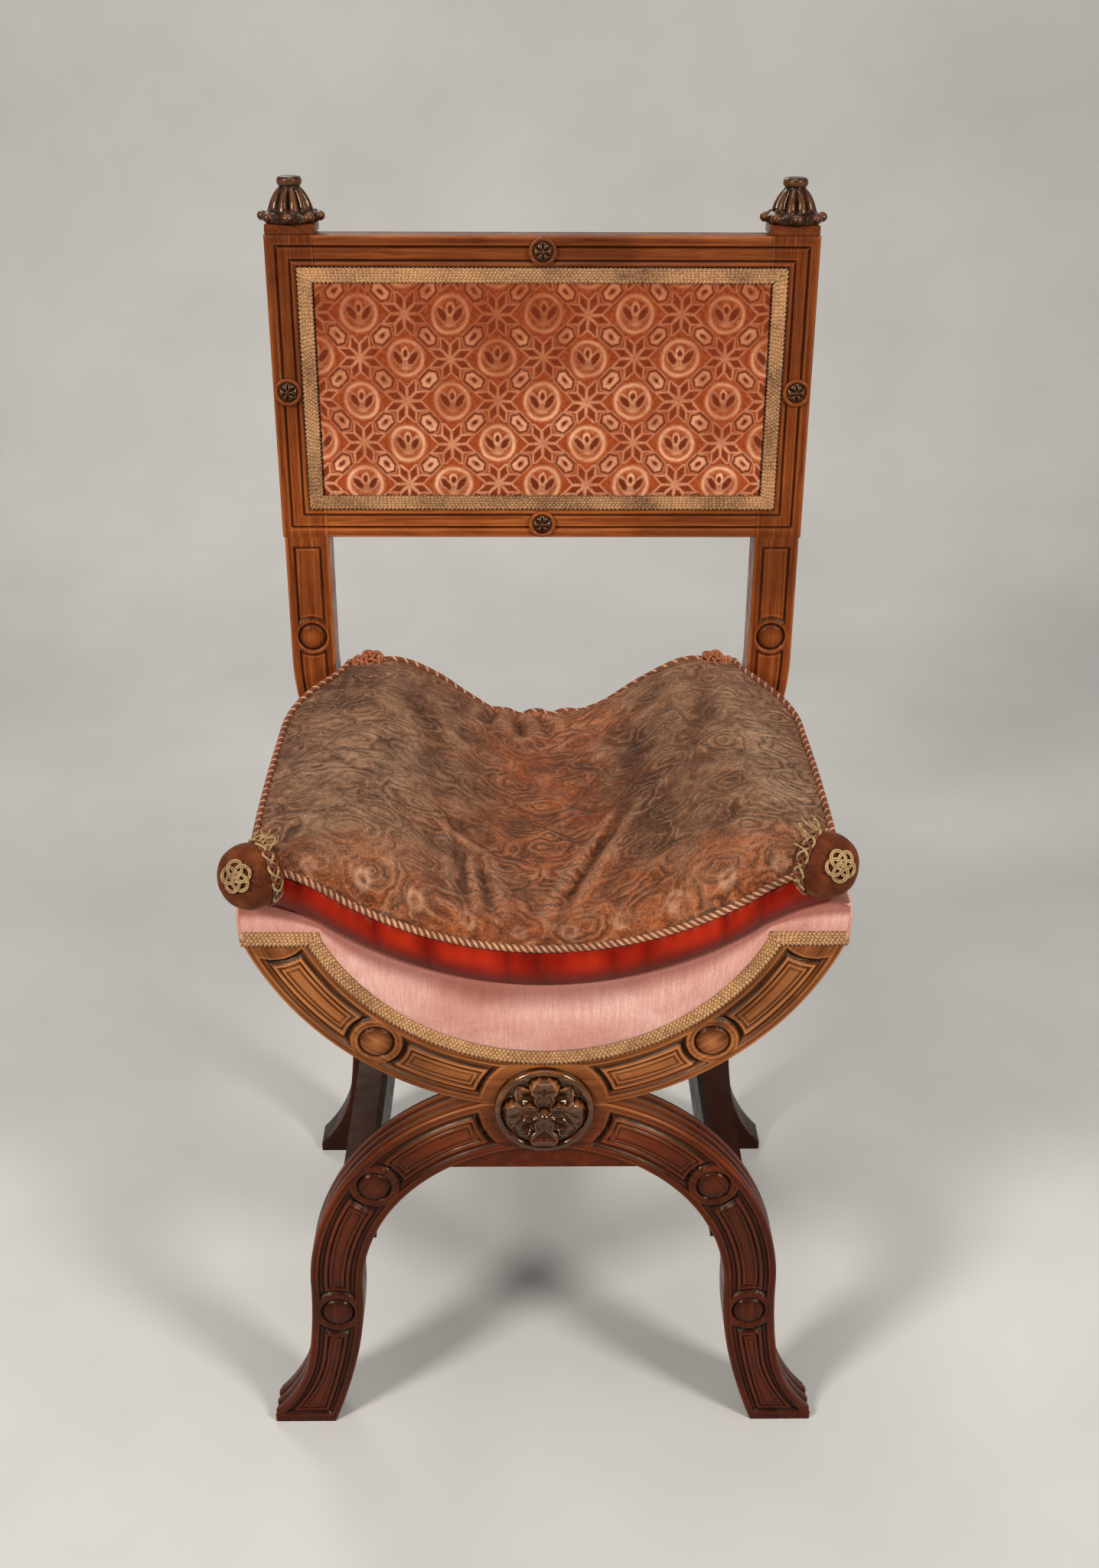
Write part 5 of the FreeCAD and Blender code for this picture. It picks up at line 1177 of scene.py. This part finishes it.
def crease(x, y, line, wide):
    """A pulled fold in the cloth: a narrow valley between two soft ridges, fading to its ends."""
    d = np.full(np.broadcast(x, y).shape, 1e3)
    span = math.dist(line[0], line[-1])
    for (ax, ay), (bx, by) in zip(line, line[1:]):
        t = clip01(((x - ax) * (bx - ax) + (y - ay) * (by - ay)) / ((bx - ax) ** 2 + (by - ay) ** 2))
        d = np.minimum(d, np.hypot(x - ax - t * (bx - ax), y - ay - t * (by - ay)))
    ends = np.minimum(*(np.hypot(x - px, y - py) for px, py in (line[0], line[-1])))
    valley = bell(d, 0.0, wide) * ease(-4.0, span * 0.3, ends)
    return valley, bell(d, 2.1 * wide, 1.2 * wide) * ease(0.6, 0.3, valley)


def cushion_top(u, v):
    """Saddle between two rounded sides, with its lumps, folds and tucks; and the painted shade in the folds
    and tucks.
    """
    x, y = plan(u, v)
    k = ease(-1.0, 1.0, v)
    valley = VALLEY_Z + VALLEY_RISE * k
    crest = CREST_Z + CREST_RISE * np.sin(np.pi * (v + 1) / 2)
    crest_x = CREST_X - CREST_IN * k
    s = clip01(np.abs(x) / crest_x)
    shape = valley + (crest - valley) * (0.5 - 0.5 * np.cos(np.pi * s ** 1.12))
    shape = shape - 16.0 * ease(crest_x, 245.0, np.abs(x))
    edge = edge_top(x, v)
    near = (1 - np.abs(u) ** 5) ** 0.5 * (1 - np.abs(v) ** 7) ** 0.5
    tucks = 2.4 * np.sin(x / 5.2 + 2.2 * wobble(x / 40.0, y / 30.0, 4)) * bell(x, -20.0, 46.0)
    tucks = tucks * ease(0.6, 0.97, v) * (1 - np.abs(v) ** 12)
    folds = 2.2 * wobble(x / 38.0, y / 38.0, 21, 3) + 0.9 * wobble(x / 8.0, y / 7.0, 23, 2)
    folds = folds + 1.2 * (1 - 2.2 * np.abs(wobble(x / 17.0, y / 22.0, 22, 2))) + tucks
    dark = clip01(-tucks / 2.4) ** 2
    for lines, wide, down, up, shade, power in PULLS:
        for line in lines:
            valley_at, ridge_at = crease(x, y, line, wide)
            folds = folds - down * valley_at + up * ridge_at
            dark = np.maximum(dark, shade * valley_at ** power)
    return x, y, edge + (shape - edge) * near + folds * near, dark * near


def local_mean(h, reach):
    for axis in (0, 1):
        wide = np.pad(h, [(reach, reach) if k == axis else (0, 0) for k in (0, 1)], mode="edge")
        size = h.shape[axis]
        h = sum(np.take(wide, range(k, k + size), axis) for k in range(2 * reach + 1)) / (2 * reach + 1)
    return h


# Rubbed, pale places of the cushion, which on the crests also carry a painted highlight: strength, place and
# reach in plan
PALE = ((0.7, -158, 165, 70, 85), (0.9, 190, 225, 30, 110), (0.8, 205, 105, 26, 60), (0.4, -70, 60, 90, 30))


def cushion_mesh():
    """Top and underside of the cushion on one grid, closer set towards the edge."""
    u, v = (np.linspace(-1, 1, n) for n in (CUSHION_NU, CUSHION_NV))
    u, v = (np.sign(w) * (1 - (1 - np.abs(w)) ** 1.25) for w in (u[:, None], v[None, :]))
    x, y, z, dark = cushion_top(u, v)
    x, y = np.broadcast_to(x, z.shape), np.broadcast_to(y, z.shape)
    rust = 0.85 * bell(x, 10.0, 85.0) + 0.8 * ease(-0.5, -0.95, v) + 0.35 * wobble(x / 60, y / 60, 31)
    pale = sum(share * bell(x, cx, wx) * bell(y, cy, wy) for share, cx, cy, wx, wy in PALE)
    # Painted shade in the hollows between lumps; the paler lumps are painted highlight with rubbed pile.
    swell = z - local_mean(z, 7)
    fade = ease(1.0, 0.9, np.maximum(np.abs(u), np.abs(v)))
    dark = np.maximum(dark, 0.4 * clip01(-swell / 1.3) * fade)
    attrs = {"rust": clip01(rust), "pale": clip01(pale), "cav": clip01(0.85 * dark),
             "wear": 0.4 * clip01(swell / 1.2 - 0.1) * fade, "cloth_x": x, "cloth_y": y - FRONT_Y}
    top = (points(x, y, z), grid(CUSHION_NU, CUSHION_NV), {k: a.ravel() for k, a in attrs.items()})
    return top, points(x * 0.985, y, seat_z(x) + 0.8)


top_part, underside = cushion_mesh()
loop = rim_loop(CUSHION_NU, CUSHION_NV)
rim_top, rim_low = top_part[0][loop], underside[loop]
tangent = np.roll(rim_top[:, :2], -1, 0) - np.roll(rim_top[:, :2], 1, 0)
outward = unit(np.stack([tangent[:, 1], -tangent[:, 0]], 1))
rim_run = run_of(rim_top)


def boxing(rows=18):
    """Red satin side of the cushion, gathered into the top seam, with painted shade towards the seat."""
    t = np.linspace(0, 1, rows)[None, :]
    arch = np.sin(np.pi * t)
    pucker = 0.5 + 0.5 * np.sin(rim_run / 2.4 + 4.0 * wobble(rim_run / 30.0, rim_run * 0, 6))[:, None]
    pucker = pucker * (1 - t) ** 3
    drag = rim_run[:, None] + 10.0 * (t - 0.5) * wobble(rim_run / 50.0, rim_run * 0, 7)[:, None]
    pull = np.abs(wobble(drag / 13.0, 0.3 * t, 13, 2))
    folds = (1 - pull) ** 8 * arch ** 0.4 * (1 - 0.5 * t)
    bulge = 6.0 * arch ** 0.8 - 2.6 * folds - 1.6 * pucker * arch ** 0.3
    base = rim_top[:, None, :] * (1 - t[..., None]) + rim_low[:, None, :] * t[..., None]
    base[..., :2] += outward[:, None, :] * bulge[..., None]
    # Painted shade in the puckers and folds, at the top seam and towards the seat; painted highlight on the
    # ridges between folds.
    cav = 0.4 * pucker + 0.55 * folds + 0.8 * ease(0.45, 1.0, t) + 0.4 * ease(0.08, 0.0, t)
    shine = clip01(2.2 * pull - 0.25) * bell(t, 0.3, 0.24)
    attrs = {"cav": clip01(cav).ravel(), "wear": shine.ravel()}
    return base.reshape(-1, 3), grid(len(loop), rows, wrap_u=True), attrs


sides = boxing()
# The underside is darker: painted shade.
under = (underside, [q[::-1] for q in top_part[1]], {"rust": 0.4, "cav": 0.3})
index = np.repeat([0, 1], [len(top_part[1]), len(sides[1]) + len(under[1])])
cushion = put("cushion_soft", merge([top_part, sides, under]), WORN, ["cushion"], "cushion",
              weld=1e-5, extra=[SATIN], index=index)


# Cords

def beside(p, closed, up):
    """Two directions across a path, at each of its points."""
    t = unit(np.roll(p, -1, 0) - np.roll(p, 1, 0) if closed else np.gradient(p, axis=0))
    a = unit(np.cross(t, up))
    return a, np.cross(t, a)


def tube(points_on, radius, sides=7, closed=False):
    p = np.asarray(points_on, float)
    n = len(p)
    a, b = beside(p, closed, (0.13, 0.21, 0.97))
    q = once_round(sides)[None, :, None]
    ring = p[:, None] + radius * swung(q, a[:, None], b[:, None])
    faces = grid(n, sides, wrap_u=closed, wrap_v=True)
    if not closed:
        faces += [list(range(sides)), list(range((n - 1) * sides, n * sides))[::-1]]
    return ring.reshape(-1, 3), faces, {"cav": 0.0}


def twisted(path, radius, pitch, strands=3, closed=True, step=1.0):
    """Strands wound round each other along a path, as a list of tubes."""
    p = np.asarray(path, float)
    if closed:
        p = np.vstack([p, p[:1]])
    s = run_of(p)
    n = int(s[-1] / step)
    p = sample(p, s, np.linspace(0, s[-1], n, endpoint=not closed))
    if closed:
        for _ in range(3):
            p = (np.roll(p, 1, 0) + p * 2 + np.roll(p, -1, 0)) / 4
    a, b = beside(p, closed, (0.1, 0.15, 0.98))
    f = 2 * np.pi * round(s[-1] / pitch) * np.arange(n) / n
    out = []
    for k in range(strands):
        q = (f + 2 * np.pi * k / strands)[:, None]
        off = radius * 0.56 * swung(q, a, b)
        v, faces, _ = tube(p + off, radius * (0.52 if strands < 4 else 0.44), 7, closed)
        # Painted shade on the strands' inner sides, where they meet.
        deep = np.linalg.norm(v.reshape(n, 7, 3) - p[:, None], axis=2)
        out.append((v, faces, {"cav": clip01((0.92 * radius - deep) / (0.5 * radius)).ravel()}))
    return out


# Piping round the top edge, thicker along the front
cord_path = rim_top + np.column_stack([outward * 1.2, np.full(len(rim_top), 0.6)])
other_run = np.vstack([cord_path[CUSHION_NU - 1:], cord_path[:1]])
front_cord = twisted(cord_path[:CUSHION_NU], 3.1, 11.0, 4, False, 0.8)
other_cord = twisted(other_run, 2.7, 11.0, 4, False, 0.8)
put("cord_tan", merge(front_cord[::2] + other_cord[:1]), TAN, body="cushion")
put("cord_red", merge(front_cord[1::2] + other_cord[1:]), RED, body="cushion")


def ball_axes(axis):
    axis = unit(np.asarray(axis, float))
    e1 = unit(np.cross(axis, UP))
    return axis, e1, np.cross(axis, e1)


def knot(centre, axis, radius, spread, bights, thick, lead=3, dome_up=2.0, gap=0.0):
    """Flat interlaced knot round an axis, over and under itself, of one cord or of two side by side."""
    axis, e1, e2 = ball_axes(axis)
    w = np.linspace(0, 2 * np.pi * lead, 90 * lead, endpoint=False)
    r = radius + spread * np.cos(bights * w / lead)
    lift = thick * 0.9 * np.sin(2 * bights * w / lead) + dome_up * (1 - (r / (radius + spread)) ** 2)
    flat = np.stack([r * np.cos(w), r * np.sin(w)], 1)
    ahead = np.roll(flat, -1, 0) - np.roll(flat, 1, 0)
    aside = unit(np.stack([-ahead[:, 1], ahead[:, 0]], 1))
    cords = []
    for shift in ((-gap / 2, gap / 2) if gap else (0.0,)):
        p = flat + shift * aside
        path = np.asarray(centre) + axis * lift[:, None] + p[:, :1] * e1 + p[:, 1:] * e2
        v, faces, _ = tube(path, thick, 8, True)
        # Painted shade on the cords' undersides.
        height = ((v.reshape(-1, 8, 3) - path[:, None]) @ axis).ravel() / thick
        cords.append((v, faces, {"cav": clip01(0.7 - 1.1 * height)}))
    return merge(cords)


# Macaroons and rear knots

def macaroon(side, sx, seed):
    """Velvet ball at a front corner: gathered under a gold knot in front, a plaited collar at the cushion."""
    rows, around = 56, 144
    c = np.array(BALL_AT[side])
    axis, e1, e2 = ball_axes((0.34 * sx, -0.82, 0.44))
    s = np.linspace(-1, 1, rows)[:, None]
    q = once_round(around)[None, :]
    fold = np.abs(np.sin(9 * q + 1.4 * wobble(s * 2, np.cos(q) * 2, seed)))
    deep = 0.03 + 0.97 * ease(0.7, 0.97, np.abs(s))
    r = BALL_R * np.maximum(1 - np.abs(s) ** 2.3, 0) ** 0.5
    r = r - 2.0 * (1 - fold ** 0.7) * deep * clip01(r / 12) + 0.5 * wobble(s * 3, np.sin(q) * 3, seed + 1)
    spot = c + axis * (BALL_HALF * s)[..., None] + r[..., None] * swung(q[..., None], e1, e2)
    # Painted shade in the gathers.
    dark = clip01((1 - fold) ** 2 * deep * 0.8).ravel()
    skin = (spot.reshape(-1, 3), grid(rows, around, wrap_v=True), {"cav": dark})
    gold = [knot(c + axis * (BALL_HALF - 0.3), axis, 7.2, 5.0, 5, 0.68, gap=1.5),
            knot(c + axis * (BALL_HALF + 1.2), axis, 2.6, 1.9, 3, 0.75, 2)]
    inward, g1, g2 = ball_axes((-sx * 0.84, 0.5, 0.06))
    w = once_round(160)
    plait = []
    for k in range(4):
        swing = 6 * w + k * np.pi / 2
        lift = 12.5 + 4.6 * np.cos(swing) + 0.9 * wobble(np.cos(w) * 3, np.sin(w) * 3, seed + k)
        ring = np.sqrt(BALL_R ** 2 - lift ** 2) + 1.2 + 0.9 * np.sin(2 * swing)
        path = c + inward * lift[:, None] + ring[:, None] * swung(w[:, None], g1, g2)
        plait.append(merge(twisted(path, 1.15, 6.0, 3)))
    gold += plait[::2]
    rng = np.random.default_rng(seed)
    aside = np.cross(inward, UP)
    reach = np.linspace(0, 1, 14)[:, None]
    for _ in range(11):
        a = rng.uniform(-0.9, 0.9)
        start = c + inward * 12.0 + (BALL_R - 2.0) * (UP * math.cos(a) + aside * math.sin(a))
        heading = inward * rng.uniform(0, 11) + UP * rng.uniform(3, 11) + aside * rng.uniform(-6, 6)
        curl = rng.normal(size=3) * 3.4
        gold.append(tube(start + heading * reach + curl * np.sin(np.pi * reach), 0.6, 5))
    return skin, merge(gold), merge(plait[1::2])


for side, sx in SIDES:
    skin, gold, red = macaroon(side, sx, 40 + sx)
    ball = put("macaroon_soft_" + side, skin, PLUSH, ["macaroon_" + side], "cushion")
    put("macaroon_knot_" + side, gold, GOLD, body="cushion")
    put("macaroon_cord_" + side, red, RED, body="cushion")
    rear = [knot((sx * 168.0, 379.0, 617.0), (0.1 * sx, -0.35, 0.94), 7.6, 4.6, 5, 1.9, dome_up=3.0),
            knot((sx * 181.0, 378.0, 615.0), (0.3 * sx, -0.3, 0.9), 4.6, 2.8, 4, 1.7)]
    put("rear_knot_" + side, merge(rear), FLAME, body="cushion")


# Sheets of cloth on the rear and the underside

def back_lining():
    """Plain cloth drawn tight over the rear of the back frame."""
    x = np.linspace(-RAIL_HALF, RAIL_HALF, 90)[:, None]
    z = np.linspace(LINING_LOW, LINING_TOP, 50)[None, :]
    slack = np.sin(np.pi * (x + LINING_HALF) / (2 * LINING_HALF))
    slack = slack * np.sin(np.pi * (z - LINING_LOW) / (LINING_TOP - LINING_LOW))
    y = REAR + 29.6 - 1.4 * slack + 0.3 * wobble(x / 30.0, z / 30.0, 17) * slack
    return rake(points(x, y, z)), grid(90, 50), {}


def bottom_cover():
    """Cloth slung under the seat between the cross frames."""
    half, sag = 196.0, 62.0
    x = np.linspace(-half, half, 110)[:, None]
    y = np.linspace(FRAME_DEEP + 0.4, REAR - 0.4, 80)[None, :]
    radius = (half ** 2 + sag ** 2) / (2 * sag)
    z = ARM_TIP - sag + radius - np.sqrt(radius ** 2 - x ** 2) - 1.2 + 0.4 * wobble(x / 34.0, y / 34.0, 19)
    return points(x, y, z), grid(110, 80), {}


lining = put("lining_cloth", back_lining(), LINING, ["back_lining"])
under_cloth = put("bottom_cloth", bottom_cover(), LINING, ["seat_bottom_cover"])


# Camera at the photograph's viewing angle
PITCH, YAW, ROLL = math.radians(27.13), math.radians(0.72), math.radians(0.27)
CAMERA_AT = (-0.011, (-1123.0 + Y0) / 1000.0, 1.2505)
FOCAL_PIXELS, FRAME_PIXELS, SENSOR = 2170.24, 2048.0, 36.0
scene = bpy.context.scene
scene.view_settings.view_transform = "Standard"
cam_data = bpy.data.cameras.new("camera")
cam = bpy.data.objects.new("camera", cam_data)
scene.collection.objects.link(cam)
scene.camera = cam
forward = Vector((math.sin(YAW) * math.cos(PITCH), math.cos(YAW) * math.cos(PITCH), -math.sin(PITCH)))
level = forward.cross(Vector((0, 0, 1))).normalized()
right = level * math.cos(ROLL) + level.cross(forward) * math.sin(ROLL)
basis = np.array([right, right.cross(forward), -forward]).T
cam.rotation_mode = "QUATERNION"
cam.rotation_quaternion = Matrix(basis.tolist()).to_quaternion()
cam.location = CAMERA_AT
cam_data.sensor_fit = "VERTICAL"
cam_data.sensor_height = SENSOR
cam_data.sensor_width = SENSOR
cam_data.lens = FOCAL_PIXELS / FRAME_PIXELS * SENSOR
cam_data.clip_start = 0.05

# Pale floor that curves up into a backdrop, in metres
floor_mat = Tree("floor")
tint = floor_mat.grain(3, 3.0)
floor_mat.finish(floor_mat.ramp(tint, (0.3, (0.52, 0.51, 0.49)), (0.7, (0.58, 0.57, 0.55))), 0.9)
BEND_Y, BEND_R, FLOOR_HALF = 1.6, 0.9, 6.0
profile = [(-5.0, 0.0), (BEND_Y, 0.0)]
profile += [(BEND_Y + BEND_R * math.sin(q), BEND_R - BEND_R * math.cos(q))
            for q in np.linspace(0, np.pi / 2, 13)[1:]]
profile += [(BEND_Y + BEND_R, 5.0)]
mesh = bpy.data.meshes.new("floor")
spots = [(x, y, z) for x in (-FLOOR_HALF, 0.0, FLOOR_HALF) for y, z in profile]
mesh.from_pydata(spots, [], grid(3, len(profile)))
mesh.shade_smooth()
mesh.materials.append(floor_mat.mat)
ground = bpy.data.objects.new("floor", mesh)
scene.collection.objects.link(ground)


# Light

def lamp(name, spot, aim, size, power, color):
    data = bpy.data.lights.new(name, "AREA")
    data.shape = "DISK"
    data.size = size
    data.energy = power
    data.color = color
    ob = bpy.data.objects.new(name, data)
    ob.location = spot
    ob.rotation_mode = "QUATERNION"
    ob.rotation_quaternion = (Vector(aim) - Vector(spot)).to_track_quat("-Z", "Y")
    scene.collection.objects.link(ob)


WARM, SOFT = (1.0, 0.96, 0.9), (1.0, 0.98, 0.95)
lamp("key_left", (-2.0, -2.0, 2.3), (0, 0, 0.6), 0.7, 84, WARM)
lamp("key_right", (2.1, -1.9, 2.1), (0, 0, 0.6), 0.7, 72, WARM)
lamp("top", (0.0, -0.3, 3.4), (0, 0, 0.5), 1.6, 20, SOFT)
lamp("rim", (-0.8, 2.2, 2.6), (0, 0, 0.7), 1.2, 22, SOFT)
world = bpy.data.worlds.new("world")
scene.world = world
world.use_nodes = True
world.node_tree.nodes["Background"].inputs[0].default_value = (0.75, 0.77, 0.8, 1.0)
world.node_tree.nodes["Background"].inputs[1].default_value = 0.2
